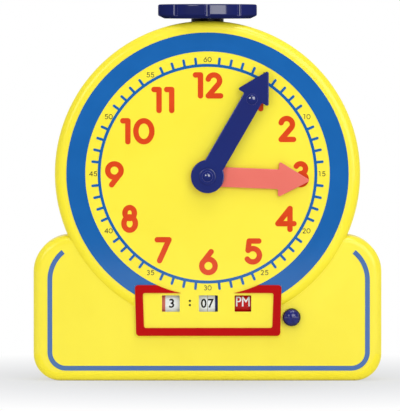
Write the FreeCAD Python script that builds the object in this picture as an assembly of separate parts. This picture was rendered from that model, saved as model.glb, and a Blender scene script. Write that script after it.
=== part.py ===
import FreeCAD, Part
import math
import os

# Geared teaching clock.  A round dial case stands on a wide base.  A knob on top turns the
# hands through bevel gears, and a lay shaft turns the number drums behind three windows.
# Frame: +X to the viewer's right, +Y to the back, +Z up, origin on the floor at the middle.
# All lengths are millimetres.  The two case shells meet in the plane y = 0.

Vec = FreeCAD.Vector

# ---- case -------------------------------------------------------------------------------
DIAL_Z = 182.2              # height of the dial's centre
HUB_DROP = 2.3              # the hands' axis below the dial's centre
CASE_R = 134.2              # outer radius of the round case
DIAL_FRONT = 30.0           # dial face, ahead of the parting plane
BASE_FRONT = 27.0           # face of the base, ahead of the parting plane
CASE_BACK = 30.0            # back face, behind the parting plane
BASE_HALF_WIDTH = 153.0
BASE_HEIGHT = 128.0
BASE_SHOULDER_R = 32.0
BASE_CORNER_R = 23.8
WALL = 2.5
FRONT_EDGE_R = 7.2
BACK_EDGE_R = 5.0
LIP_THICK = 1.2
LIP_HEIGHT = 2.0
LIP_ROOT = 3.0
LIP_CLEAR = 0.15
BACK_PANEL_R = 104.0
BACK_PANEL_DEPTH = 0.8
OVERCUT = 1.0               # how far a cutting tool runs past a face

# ---- printed rings, stripe and numerals ---------------------------------------------------
PRINT_THICK = 0.15
BAND_R_OUT = 123.9
BAND_R_IN = 107.3
TRACK_R_IN = 93.8
TRACK_R_OUT = 96.4
TICK_R_OUT = 102.5
TICK_WIDTH = 2.3
HOUR_RING_R = 80.0          # about how far the hour numerals stand from the dial's centre
HOUR_CAP = 23.1             # height of an hour numeral
HOUR_STROKE = 4.75
MINUTE_CAP = 4.4
MINUTE_STROKE = 0.55
MINUTE_RING_R = 100.2
MINUTE_PITCH = 3.7          # from digit to digit
STRIPE_WIDTH = 4.2
STRIPE_CENTRE_X = 1.0
STRIPE_HALF_WIDTH = 139.5   # to the stripe's centre line
STRIPE_BOTTOM = 11.2
STRIPE_CORNER_R = 14.1
STRIPE_SHOULDER_R = 31.7
STRIPE_SHOULDER_Z = 88.9
STRIPE_SWEEP = 51.0         # degrees of the shoulder arc that is printed

# ---- display window panel ---------------------------------------------------------------
BEZEL_X = 0.6               # middle of the frame round the windows
BEZEL_HALF_WIDTH = 64.4     # at its top edge
BEZEL_TAPER = 1.1           # how far each side leans in down to the bottom edge
BEZEL_BOTTOM = 39.8
BEZEL_TOP = 84.5
BEZEL_BAR = 7.0
BEZEL_PROUD = 1.2
BEZEL_OUTER_R = 3.0
BEZEL_INNER_R = 1.8
BEZEL_EDGE_R = 0.5
PLATFORM_MARGIN = 0.9
PLATFORM_EDGE_R = 0.8
WINDOW_HEIGHT = 14.4
WINDOW_CORNER_R = 0.6
HOUR_WINDOW = (-32.2, 15.6)     # middle and width
MINUTE_WINDOW = (0.8, 16.6)
AMPM_WINDOW = (31.1, 14.6)
COLON_X = -15.5
COLON_RISE = 1.85
COLON_SHIFT = 0.5
COLON_R = 1.0

# ---- fits ---------------------------------------------------------------------------------
RUNNING = 0.1               # radial clearance of a running fit
SIDE_PLAY = 0.3             # clearance between moving faces
SLIDE_FIT = 0.2             # radial clearance of the push button in its guide

# ---- knob and drive shaft -------------------------------------------------------------------
KNOB_R = 43.6
KNOB_RIM = 9.8
KNOB_CONE = 2.6
KNOB_CONE_R = 38.0
KNOB_EDGE_R = 1.6
KNOB_GROOVES = 9
KNOB_GROOVE_R = 2.4
KNOB_GROOVE_DEPTH = 1.3
KNOB_HUB_R = 9.0
KNOB_SKIN = 3.0
KNOB_RECESS_R = 4.2
KNOB_RECESS = 2.6
KNOB_SCREW_LENGTH = 12.0
KNOB_NECK = 2.2             # from the top of the case to the knob's underside
BUSH_R = 14.3
BUSH_FLANGE = 2.7
BUSH_FLANGE_THICK = 2.5
DRIVE_R = 3.5
SHAFT_GAP = 0.9             # shaft end to the lay shaft below it
SCREW_HEAD_R = 3.2
SCREW_HEAD = 2.2
SCREW_R = 1.6
SCREW_HEAD_ROUND = 0.7
SCREW_CROSS_WIDTH = 0.8
SCREW_CROSS_SPAN = 3.8
SCREW_CROSS_DEPTH = 1.2

# ---- movement behind the dial ---------------------------------------------------------------
UPPER_BEVEL_TEETH = 20
UPPER_BEVEL_MODULE = 1.5
UPPER_BEVEL_FACE = 5.5
HAND_CENTRES = 27.0         # arbor to stud
CANNON_TEETH = 15
MINUTE_WHEEL_TEETH = 45
MINUTE_PINION_TEETH = 12
HOUR_WHEEL_TEETH = 48
GEAR_WIDTH = 3.0
LAYER_GAP = 0.6
WHEEL_CLEAR = 0.5           # hour wheel to the case wall
ARBOR_R = 3.4
ARBOR_TAIL = 7.5            # rear end of the arbor, ahead of the parting plane
TUBE_WALL = 2.4
HOUR_SEAT_STEP = 0.9        # shoulder behind the hour hand
STUD_R = 2.0
PLATE_THICK = 2.3
PLATE_LEFT = 57.0
PLATE_RIGHT = 33.0
PLATE_UP = 32.0
PLATE_DOWN = 28.0
PLATE_SCREW_X = (-52.0, 28.0)
PLATE_SCREW_RISE = 22.0
PLATE_BOSS_R = 4.0
EYE_WIDTH = 15.0
EYE_DEPTH = 7.0             # behind the shaft's axis
EYE_THICK = 5.0
UPPER_EYE_RISE = 23.8       # lower face of the eye above the dial's centre
LOWER_EYE_DROP = 19.2       # upper face of the eye below the dial's centre
FOOT_EYE_Z = 118.0

# ---- hands ----------------------------------------------------------------------------------
MINUTE_ANGLE = 30.0         # degrees clockwise from twelve
HOUR_ANGLE = 92.3
HAND_THICK = 2.5
HAND_EDGE_R = 0.6
ARROW_TIP_R = 1.5
ARROW_NECK_R = 1.0
MINUTE_LENGTH = 106.0
MINUTE_HALF_WIDTH = 9.0
MINUTE_HEAD_BASE = 79.6
MINUTE_HEAD_HALF = 16.0
MINUTE_HUB_R = 14.6
HOUR_LENGTH = 89.2
HOUR_HALF_WIDTH = 8.7
HOUR_HEAD_BASE = 62.2
HOUR_HEAD_HALF = 15.9
HOUR_HUB_R = 13.0
HAND_GAP = 1.5
PEG_AT = 78.1
PEG_R = 4.8
PEG_HEIGHT = 2.0
CAP_R = 7.2
CAP_EDGE_R = 0.5
CAP_DOME_R = 4.6
CAP_STEP = 0.9
CAP_HEIGHT = 3.3

# ---- number drums -----------------------------------------------------------------------------
DRUM_Z = 68.2
DRUM_Y = -2.8
DRUM_R = 22.5
DRUM_RIM = 1.5
LABEL_THICK = 0.15
LABEL_MARGIN = 0.2          # bare groove between the hour drum's label and its gear
AXLE_R = 2.5
DRUM_HUB_R = 4.4
LAY_CENTRES = 33.0          # lay shaft to drum axle
TRANSFER_CENTRES = 27.5     # transfer axle to drum axle
TRANSFER_Y = 4.9
TRANSFER_R = 2.0
SLEEVE_R = 3.5
LOWER_BEVEL_MODULE = 1.0
LOWER_WHEEL_TEETH = 28
LOWER_PINION_TEETH = 14
LOWER_WHEEL_FACE = 2.5
TENS_LAY_TEETH = 22
TENS_TEETH = 44
UNITS_LAY_TEETH = 48
UNITS_TEETH = 16
TRANSFER_DRIVER_TEETH = 14
TRANSFER_WHEEL_TEETH = 42
TRANSFER_PINION_TEETH = 11
HOUR_GEAR_TEETH = 44
AXLE_PINION_TEETH = 24
AMPM_WHEEL_TEETH = 24
AMPM_PINION_TEETH = 16
AMPM_GEAR_TEETH = 32

# Stations along the drum axle, from left to right.
HOUR_DRUM_X = (-42.0, -23.5)
TENS_GEAR_X = -19.5
TENS_PINION_X = -14.5
TENS_DRUM_X = (-8.5, -0.1)
UNITS_DRUM_X = (0.3, 10.5)
UNITS_LABEL_END = 6.6
HOUR_LABEL_START = -37.1
UNITS_PINION_X = 16.0
AMPM_DRUM_X = (22.0, 40.0)
AMPM_GEAR_X = 41.0
AXLE_PINION_X = 45.5

# ---- bearing plates of the display --------------------------------------------------------------
LEFT_PLATE_X = -46.5
RIGHT_PLATE_X = 52.0
BEARING_PLATE = 2.0
BEARING_FRONT = -12.0
BEARING_BACK = 22.0
BEARING_TOP = 9.0           # above the lay shaft
BEARING_FOOT = 9.0          # below the transfer axle
BEARING_CORNER_R = 3.0
FLANGE_WIDTH = 13.5
FLANGE_SHORT = 4.0          # the flange stops this far from the plate's ends
FRAME_SCREW_OUT = 7.0
FRAME_SCREW_RISE = 22.0
CLIP_R = 4.6
CLIP_THICK = 0.6
CLIP_MOUTH = 3.0

# ---- shutter and push button ----------------------------------------------------------------------
SHUTTER_R = 23.3
SHUTTER_THICK = 0.9
SHUTTER_SWING = 40.0        # degrees
SHUTTER_COVER = 38.0        # degrees of arc that one blade covers
SHUTTER_RAIL = 5.0          # degrees
SHUTTER_ARM = 1.5
SHUTTER_HUB_R = 4.5
BUTTON_X = 73.9
BUTTON_Z = 56.0
BUTTON_R = 7.7
BUTTON_PROUD = 9.0          # dome's top ahead of the base's face
BUTTON_DOME = 4.5
BUTTON_TRAVEL = 4.5
BUTTON_GUIDE = 12.0
BUTTON_GUIDE_WALL = 2.3
BUTTON_FLANGE = 1.7
BUTTON_FLANGE_THICK = 1.5
BUTTON_WALL = 1.1
BUTTON_POCKET = 7.3
FORK_X = 59.0
FORK_WIDTH = 4.0
FORK_PLAY = 0.15
FORK_WALL = 2.2
FORK_ROOM = 1.0             # above the pin, for its arc
CRANK_THICK = 2.0
CRANK_PIN_R = 1.2
CRANK_EYE = 1.5             # wall round the hub
CRANK_FOOT = 1.2            # wall round the pin
SHUTTER_ARM_ROOT = 3.5      # where the arms start from the axle's line
SHUTTER_OVERLAP = 0.5       # blade past each side of its window
SPRING_R = 5.2
SPRING_WIRE_R = 0.4
SPRING_TURNS = 7
SPRING_POST_R = 6.5
SPRING_POST_FRONT = 2.0     # where the spring's seat stands behind the parting plane

# ---- case screws --------------------------------------------------------------------------------------
CASE_SCREWS = ((135.0, 18.0), (135.0, 100.0), (86.0, 268.0))
CASE_BOSS_R = 5.0
CASE_SCREW_SEAT = 12.0      # head's seat behind the parting plane
CASE_SCREW_REACH = 12.0     # thread ahead of the parting plane
CASE_HOLE_CLEAR = 0.2

# ---- gear teeth -----------------------------------------------------------------------------------------
PRESSURE_ANGLE = math.radians(20.0)
ADDENDUM = 0.8              # of the module: stub teeth
DEDENDUM = 1.05
BACKLASH = 0.12


# ======================= places that follow from the sizes above =======================
HUB_Z = DIAL_Z - HUB_DROP
DIAL_FACE = -DIAL_FRONT
BASE_FACE = -BASE_FRONT
DIAL_INSIDE = DIAL_FACE + WALL
BASE_INSIDE = BASE_FACE + WALL
BACK_INSIDE = CASE_BACK - WALL
INNER_EDGE_R = FRONT_EDGE_R - WALL
CASE_TOP = DIAL_Z + CASE_R
LAY_Z = DRUM_Z + math.sqrt(LAY_CENTRES ** 2 - DRUM_Y ** 2)
TRANSFER_Z = DRUM_Z - math.sqrt(TRANSFER_CENTRES ** 2 - (TRANSFER_Y - DRUM_Y) ** 2)
KNOB_BOTTOM = CASE_TOP + KNOB_NECK
KNOB_TOP = KNOB_BOTTOM + KNOB_CONE + KNOB_RIM
SHAFT_FOOT = LAY_Z + AXLE_R + SHAFT_GAP
KNOB_SEAT = KNOB_TOP - KNOB_RECESS
SHAFT_HEAD = KNOB_SEAT - KNOB_SKIN
HOUR_LAYER = DIAL_INSIDE + WHEEL_CLEAR
CANNON_LAYER = HOUR_LAYER + GEAR_WIDTH + LAYER_GAP
PLATE_FRONT = CANNON_LAYER + GEAR_WIDTH + LAYER_GAP
PLATE_BACK = PLATE_FRONT + PLATE_THICK
HOUR_TUBE_BORE = ARBOR_R + RUNNING
HOUR_TUBE_R = HOUR_TUBE_BORE + TUBE_WALL
HOUR_SEAT_R = HOUR_TUBE_R - HOUR_SEAT_STEP
HOUR_HAND_BACK = DIAL_FACE - HAND_GAP
HOUR_HAND_FRONT = HOUR_HAND_BACK - HAND_THICK
MINUTE_HAND_BACK = HOUR_HAND_FRONT - HAND_GAP
MINUTE_HAND_FRONT = MINUTE_HAND_BACK - HAND_THICK
PRESS_ANGLE = math.radians(SHUTTER_SWING / 2.0)
CRANK_ARM = BUTTON_TRAVEL / (2.0 * math.sin(PRESS_ANGLE))


# ======================= plain shapes =======================
def block(x0, x1, y0, y1, z0, z1):
    """Box between two values on each axis."""
    return Part.makeBox(x1 - x0, y1 - y0, z1 - z0, Vec(x0, y0, z0))


def rod_x(y, z, radius, x0, x1):
    """Round bar along X."""
    return Part.makeCylinder(radius, x1 - x0, Vec(x0, y, z), Vec(1, 0, 0))


def rod_y(x, z, radius, y0, y1):
    """Round bar along Y."""
    return Part.makeCylinder(radius, y1 - y0, Vec(x, y0, z), Vec(0, 1, 0))


def rod_z(x, y, radius, z0, z1):
    """Round bar along Z."""
    return Part.makeCylinder(radius, z1 - z0, Vec(x, y, z0), Vec(0, 0, 1))


def tube_x(y, z, outer, inner, x0, x1):
    """Tube along X."""
    return rod_x(y, z, outer, x0, x1).cut(rod_x(y, z, inner, x0 - OVERCUT, x1 + OVERCUT))


def tube_y(x, z, outer, inner, y0, y1):
    """Tube along Y."""
    return rod_y(x, z, outer, y0, y1).cut(rod_y(x, z, inner, y0 - OVERCUT, y1 + OVERCUT))


def tube_z(x, y, outer, inner, z0, z1):
    """Tube along Z."""
    return rod_z(x, y, outer, z0, z1).cut(rod_z(x, y, inner, z0 - OVERCUT, z1 + OVERCUT))


def join(shapes):
    """One solid from shapes that meet."""
    shapes = list(shapes)
    return shapes[0].fuse(shapes[1:]).removeSplitter() if len(shapes) > 1 else shapes[0]


def corner_arc(before, corner, after, radius):
    """Tangent points and middle of the arc that rounds one corner of an outline."""
    back = (before - corner).normalize()
    ahead = (after - corner).normalize()
    half = back.getAngle(ahead) / 2.0
    reach = radius / math.tan(half)
    bisector = (back + ahead).normalize()
    middle = corner + bisector * (radius / math.sin(half) - radius)
    return corner + back * reach, middle, corner + ahead * reach


def outline_face(corners, to_space):
    """Flat face inside a closed outline of (a, b, corner radius)."""
    points = [to_space(a, b) for a, b, _ in corners]
    count = len(points)
    edges = []
    joints = []
    for i, (_, _, radius) in enumerate(corners):
        if radius > 0:
            joints.append(corner_arc(points[i - 1], points[i], points[(i + 1) % count], radius))
        else:
            joints.append((points[i], None, points[i]))
    for i in range(count):
        start, middle, end = joints[i]
        if middle is not None:
            edges.append(Part.Arc(start, middle, end).toShape())
        following = joints[(i + 1) % count][0]
        if end.distanceToPoint(following) > 1e-6:
            edges.append(Part.LineSegment(end, following).toShape())
    return Part.Face(Part.Wire(edges))


def plate_y(corners, y0, y1):
    """Plate whose outline is given in (x, z)."""
    return outline_face(corners, lambda a, b: Vec(a, y0, b)).extrude(Vec(0, y1 - y0, 0))


def plate_x(corners, x0, x1):
    """Plate whose outline is given in (y, z)."""
    return outline_face(corners, lambda a, b: Vec(x0, a, b)).extrude(Vec(x1 - x0, 0, 0))


def rectangle(x0, x1, z0, z1, radius):
    """Outline of a rectangle with four equal corners."""
    return [(x0, z0, radius), (x1, z0, radius), (x1, z1, radius), (x0, z1, radius)]


def edges_at_y(shape, y):
    """Edges that lie in one plane across Y."""
    found = []
    for edge in shape.Edges:
        box = edge.BoundBox
        if abs(box.YMin - y) < 1e-4 and abs(box.YMax - y) < 1e-4:
            found.append(edge)
    return found


def edges_at_z(shape, z):
    """Edges that lie in one plane across Z."""
    found = []
    for edge in shape.Edges:
        box = edge.BoundBox
        if abs(box.ZMin - z) < 1e-4 and abs(box.ZMax - z) < 1e-4:
            found.append(edge)
    return found


def dome_y(x, z, radius, y_base, height):
    """Low spherical dome that bulges towards the viewer from y_base."""
    sphere_r = (radius ** 2 + height ** 2) / (2.0 * height)
    ball = Part.makeSphere(sphere_r, Vec(x, y_base - height + sphere_r, z))
    return ball.common(rod_y(x, z, radius, y_base - height - OVERCUT, y_base))


# ======================= gears =======================
def involute(angle):
    """Involute function."""
    return math.tan(angle) - angle


def tooth_half_angle(teeth, module, radius):
    """Half the angle that a tooth takes at a radius."""
    pitch_r = module * teeth / 2.0
    base_r = pitch_r * math.cos(PRESSURE_ANGLE)
    half = math.pi / (2.0 * teeth) - BACKLASH * module / (2.0 * pitch_r)
    local = math.acos(min(1.0, base_r / radius))
    return half + involute(PRESSURE_ANGLE) - involute(local)


def tooth_stations(teeth, module):
    """Radius and half angle at the root, two places on the flank and the tip."""
    pitch_r = module * teeth / 2.0
    base_r = pitch_r * math.cos(PRESSURE_ANGLE)
    root_r = pitch_r - DEDENDUM * module
    tip_r = pitch_r + ADDENDUM * module
    start_r = max(base_r, root_r)
    radii = [root_r]
    if start_r > root_r + 0.05 * module:
        radii.append(start_r)
    radii.append((start_r + tip_r) / 2.0)
    radii.append(tip_r)
    return [(radius, tooth_half_angle(teeth, module, max(radius, start_r))) for radius in radii]


def toothed_points(stations, teeth, phase, height):
    """Corners of a toothed outline, in the plane z = height."""
    points = []
    for tooth in range(teeth):
        centre = phase + 2.0 * math.pi * tooth / teeth
        for radius, half in stations:
            points.append(Vec(radius * math.cos(centre - half), radius * math.sin(centre - half), height))
        for radius, half in reversed(stations):
            points.append(Vec(radius * math.cos(centre + half), radius * math.sin(centre + half), height))
    points.append(points[0])
    return points


def spur_gear(teeth, module, width, phase):
    """Spur gear on the local Z axis, from z = 0 to z = width, one tooth at the phase angle."""
    points = toothed_points(tooth_stations(teeth, module), teeth, phase, 0.0)
    return Part.Face(Part.makePolygon(points)).extrude(Vec(0, 0, width))


def bevel_gear(teeth, mate_teeth, module, face, phase):
    """Bevel gear with its apex at the origin, opening along the local Z axis."""
    cone = math.atan2(teeth, mate_teeth)
    pitch_r = module * teeth / 2.0
    height = pitch_r / math.tan(cone)
    slant = pitch_r / math.sin(cone)
    virtual = pitch_r / math.cos(cone)
    virtual_teeth = 2.0 * virtual / module
    stations = []
    for radius, half in tooth_stations(virtual_teeth, module):
        lean = cone + math.atan((radius - virtual) / slant)
        stations.append((height * math.tan(lean), half / math.cos(cone)))
    shrink = (height - face) / height
    outer = Part.makePolygon(toothed_points(stations, teeth, phase, height))
    small = [(radius * shrink, half) for radius, half in stations]
    inner = Part.makePolygon(toothed_points(small, teeth, phase, height - face))
    return Part.makeLoft([inner, outer], True, True)


def placed(shape, origin, local_x, local_y, local_z):
    """Copy of a shape with its local axes turned onto three directions."""
    matrix = FreeCAD.Matrix(
        local_x.x, local_y.x, local_z.x, origin.x,
        local_x.y, local_y.y, local_z.y, origin.y,
        local_x.z, local_y.z, local_z.z, origin.z,
        0, 0, 0, 1)
    moved = shape.copy()
    moved.Placement = FreeCAD.Placement(matrix)
    return moved


def on_x(shape, x, y, z):
    """Local Z onto +X; angles then run from +Y to +Z."""
    return placed(shape, Vec(x, y, z), Vec(0, 1, 0), Vec(0, 0, 1), Vec(1, 0, 0))


def on_y(shape, x, y, z):
    """Local Z onto +Y; angles then run from +Z to +X."""
    return placed(shape, Vec(x, y, z), Vec(0, 0, 1), Vec(1, 0, 0), Vec(0, 1, 0))


def spur_pair(driver_teeth, follower_teeth, centres, width, direction):
    """Two gears in mesh: a driver's tooth in a follower's space on the line of centres."""
    module = 2.0 * centres / (driver_teeth + follower_teeth)
    driver = spur_gear(driver_teeth, module, width, direction)
    follower = spur_gear(follower_teeth, module, width, direction + math.pi - math.pi / follower_teeth)
    return driver, follower


# ======================= numerals =======================
# Digits are drawn as strokes on a centre line one unit tall, from z = -0.5 to z = 0.5.
# A stroke is ("line", x0, z0, x1, z1), ("arc", x, z, radius, from, to) or ("oval", half width).
def digit_strokes(digit):
    """Strokes of one rounded digit; angles are degrees from +x, counter-clockwise."""
    if digit == 0:
        return [("oval", 0.0, 0.0, 0.382, 0.5)]
    if digit == 1:
        return [("line", 0.1, -0.5, 0.1, 0.5), ("line", 0.1, 0.5, -0.14, 0.5)]
    if digit == 2:
        return [
            ("arc", -0.02, 0.225, 0.275, -42.0, 165.0),
            ("line", 0.184, 0.041, -0.285, -0.5),
            ("line", -0.285, -0.5, 0.305, -0.5)]
    if digit == 3:
        return [
            ("arc", 0.0, 0.265, 0.235, -90.0, 150.0),
            ("arc", 0.0, -0.235, 0.265, -150.0, 90.0)]
    if digit == 4:
        return [
            ("line", 0.17, 0.5, -0.41, -0.225),
            ("line", -0.41, -0.225, 0.36, -0.225),
            ("line", 0.17, 0.5, 0.17, -0.5)]
    if digit == 5:
        return [
            ("line", 0.27, 0.5, -0.19, 0.5),
            ("line", -0.19, 0.5, -0.245, 0.055),
            ("arc", -0.02, -0.18, 0.32, -145.0, 134.0)]
    if digit == 6:
        return [("arc", 0.0, -0.18, 0.32, 0.0, 360.0), ("line", -0.29, -0.045, 0.13, 0.5)]
    if digit == 7:
        return [("line", -0.28, 0.5, 0.28, 0.5), ("line", 0.28, 0.5, -0.17, -0.5)]
    if digit == 8:
        return [("oval", 0.0, 0.274, 0.262, 0.226), ("oval", 0.0, -0.226, 0.318, 0.274)]
    return [("arc", 0.0, 0.18, 0.32, 0.0, 360.0), ("line", 0.29, 0.045, -0.13, -0.5)]


def slot_solid(x0, z0, x1, z1, half, y0, y1):
    """Straight stroke with round ends."""
    start = Vec(x0, y0, z0)
    end = Vec(x1, y0, z1)
    along = (end - start).normalize()
    side = Vec(along.z, 0, -along.x) * half
    tip = along * half
    edges = [
        Part.LineSegment(start + side, end + side).toShape(),
        Part.Arc(end + side, end + tip, end - side).toShape(),
        Part.LineSegment(end - side, start - side).toShape(),
        Part.Arc(start - side, start - tip, start + side).toShape()]
    return Part.Face(Part.Wire(edges)).extrude(Vec(0, y1 - y0, 0))


def polar_point(x, y, z, radius, degrees):
    """Point in a plane across Y, at an angle from +x towards +z."""
    angle = math.radians(degrees)
    return Vec(x + radius * math.cos(angle), y, z + radius * math.sin(angle))


def bow_solid(x, z, radius, start, end, half, y0, y1):
    """Curved stroke with round ends, or a whole ring."""
    outer = radius + half
    inner = radius - half
    if end - start >= 360.0:
        return rod_y(x, z, outer, y0, y1).cut(rod_y(x, z, inner, y0 - OVERCUT, y1 + OVERCUT))
    middle = (start + end) / 2.0
    at = [polar_point(x, y0, z, r, a) for r, a in (
        (outer, start), (outer, middle), (outer, end), (inner, end), (inner, middle), (inner, start))]
    edges = [
        Part.Arc(at[0], at[1], at[2]).toShape(),
        Part.Arc(at[2], round_end(x, y0, z, radius, end, half), at[3]).toShape(),
        Part.Arc(at[3], at[4], at[5]).toShape(),
        Part.Arc(at[5], round_end(x, y0, z, radius, start, -half), at[0]).toShape()]
    return Part.Face(Part.Wire(edges)).extrude(Vec(0, y1 - y0, 0))


def round_end(x, y, z, radius, degrees, reach):
    """Outermost point of the round end of a curved stroke; reach is negative at its start."""
    angle = math.radians(degrees)
    return polar_point(x, y, z, radius, degrees) + Vec(-math.sin(angle) * reach, 0, math.cos(angle) * reach)


def oval_solid(x, z, half_width, half_height, half, y0, y1):
    """Oval ring of even stroke."""
    rings = []
    long = max(half_height, half_width)
    short = min(half_height, half_width)
    for grow in (half, -half):
        ellipse = Part.Ellipse(Vec(0, 0, 0), long + grow, short + grow)
        ring = Part.Face(Part.Wire(ellipse.toShape())).extrude(Vec(0, 0, y1 - y0))
        if half_width > half_height:
            ring.rotate(Vec(0, 0, 0), Vec(0, 0, 1), 90.0)
        rings.append(on_y(ring, x, y0, z))
    return rings[0].cut(rings[1])


def digit_solid(digit, x, z, cap, stroke, y0, y1):
    """One digit as a thin raised print, centred on (x, z)."""
    size = cap - stroke
    half = stroke / 2.0
    strokes = []
    for item in digit_strokes(digit):
        if item[0] == "line":
            ends = [value * size for value in item[1:]]
            strokes.append(slot_solid(x + ends[0], z + ends[1], x + ends[2], z + ends[3], half, y0, y1))
        elif item[0] == "arc":
            centre_x = x + item[1] * size
            centre_z = z + item[2] * size
            strokes.append(bow_solid(centre_x, centre_z, item[3] * size, item[4], item[5], half, y0, y1))
        else:
            place_x, place_z, half_width, half_height = [value * size for value in item[1:]]
            strokes.append(oval_solid(x + place_x, z + place_z, half_width, half_height, half, y0, y1))
    return join(strokes)


def number_solids(number, x, z, pitch, cap, stroke, y0, y1):
    """The digits of a number side by side, centred on (x, z)."""
    digits = [int(letter) for letter in str(number)]
    start = x - pitch * (len(digits) - 1) / 2.0
    return [digit_solid(d, start + pitch * i, z, cap, stroke, y0, y1) for i, d in enumerate(digits)]


# ======================= case =======================
def base_outline(inset):
    """Outline of the base, moved in by inset."""
    half = BASE_HALF_WIDTH - inset
    top = BASE_HEIGHT - inset
    return [
        (-half, inset, BASE_CORNER_R - inset),
        (half, inset, BASE_CORNER_R - inset),
        (half, top, BASE_SHOULDER_R - inset),
        (-half, top, BASE_SHOULDER_R - inset)]


def silhouette(inset, y0, y1):
    """Base and round case together, moved in by inset."""
    return join([plate_y(base_outline(inset), y0, y1), rod_y(0, DIAL_Z, CASE_R - inset, y0, y1)])


def platform_outline(inset):
    """Raised panel round the windows, moved in by inset; its top is inside the dial."""
    reach = BEZEL_HALF_WIDTH + PLATFORM_MARGIN - inset
    bottom = BEZEL_BOTTOM - PLATFORM_MARGIN + inset
    radius = BEZEL_OUTER_R + PLATFORM_MARGIN - inset
    return tapered_outline(reach - BEZEL_TAPER, reach, bottom, DIAL_Z - CASE_R / 2.0, radius)


def tapered_outline(narrow, wide, bottom, top, radius):
    """Outline about the window frame's middle, narrow at the bottom and wide at the top."""
    return [
        (BEZEL_X - narrow, bottom, radius), (BEZEL_X + narrow, bottom, radius),
        (BEZEL_X + wide, top, radius), (BEZEL_X - wide, top, radius)]


def screw_places():
    """The case screws, mirrored about the middle."""
    return [(side * x, z) for x, z in CASE_SCREWS for side in (-1.0, 1.0)]


def bush_room():
    """Room for the knob's bush, which both shells hold."""
    neck = rod_z(0, 0, BUSH_R + RUNNING, DIAL_Z, CASE_TOP + OVERCUT)
    flange_z = bush_flange_z()
    flange_r = BUSH_R + BUSH_FLANGE + SIDE_PLAY
    return neck.fuse(rod_z(0, 0, flange_r, DIAL_Z, flange_z + SIDE_PLAY / 2.0))


def bush_flange_z():
    """Top of the bush's flange, just under the curved roof of the case."""
    reach = BUSH_R + BUSH_FLANGE
    return DIAL_Z + math.sqrt((CASE_R - WALL) ** 2 - reach ** 2) - SIDE_PLAY / 2.0


def window_cutter(window):
    """Tool that cuts one display window."""
    middle, width = window
    low = DRUM_Z - WINDOW_HEIGHT / 2.0
    corners = rectangle(middle - width / 2.0, middle + width / 2.0, low, low + WINDOW_HEIGHT, WINDOW_CORNER_R)
    return plate_y(corners, DIAL_FACE - OVERCUT, DIAL_INSIDE + OVERCUT)


def front_shell():
    """Front half of the case, with its windows, bosses and button guide."""
    base = plate_y(base_outline(0), BASE_FACE, 0)
    base = base.makeFillet(FRONT_EDGE_R, edges_at_y(base, BASE_FACE))
    dial = rod_y(0, DIAL_Z, CASE_R, DIAL_FACE, 0)
    dial = dial.makeFillet(FRONT_EDGE_R, edges_at_y(dial, DIAL_FACE))
    panel = plate_y(platform_outline(0), DIAL_FACE, BASE_INSIDE)
    panel = panel.makeFillet(PLATFORM_EDGE_R, edges_at_y(panel, DIAL_FACE))
    outer = base.fuse([dial, panel])
    base_room = plate_y(base_outline(WALL), BASE_INSIDE, OVERCUT)
    base_room = base_room.makeFillet(INNER_EDGE_R, edges_at_y(base_room, BASE_INSIDE))
    dial_room = rod_y(0, DIAL_Z, CASE_R - WALL, DIAL_INSIDE, OVERCUT)
    dial_room = dial_room.makeFillet(INNER_EDGE_R, edges_at_y(dial_room, DIAL_INSIDE))
    panel_room = plate_y(platform_outline(WALL), DIAL_INSIDE, OVERCUT)
    shell = outer.cut(base_room.fuse([dial_room, panel_room]))
    posts = []
    holes = [rod_y(0, HUB_Z, HOUR_TUBE_R + RUNNING, DIAL_FACE - OVERCUT, DIAL_INSIDE + OVERCUT)]
    for x, z in screw_places():
        inside = DIAL_INSIDE if math.hypot(x, z - DIAL_Z) < CASE_R else BASE_INSIDE
        posts.append(rod_y(x, z, CASE_BOSS_R, inside - WALL / 2.0, 0))
        holes.append(rod_y(x, z, SCREW_R, -CASE_SCREW_REACH - OVERCUT, OVERCUT))
    for x in PLATE_SCREW_X:
        for rise in (-PLATE_SCREW_RISE, PLATE_SCREW_RISE):
            posts.append(rod_y(x, HUB_Z + rise, PLATE_BOSS_R, DIAL_INSIDE - WALL / 2.0, PLATE_FRONT))
            holes.append(rod_y(x, HUB_Z + rise, SCREW_R, DIAL_INSIDE + OVERCUT / 2.0, PLATE_FRONT + OVERCUT))
    guide_r = BUTTON_R + SLIDE_FIT
    guide_end = BASE_FACE + BUTTON_GUIDE
    posts.append(rod_y(BUTTON_X, BUTTON_Z, guide_r + BUTTON_GUIDE_WALL, BASE_INSIDE - WALL / 2.0, guide_end))
    holes.append(rod_y(BUTTON_X, BUTTON_Z, guide_r, DIAL_FACE - OVERCUT, guide_end + OVERCUT))
    holes.extend(window_cutter(window) for window in (HOUR_WINDOW, MINUTE_WINDOW, AMPM_WINDOW))
    holes.append(bush_room())
    return shell.fuse(posts).cut(holes).removeSplitter()


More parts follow.
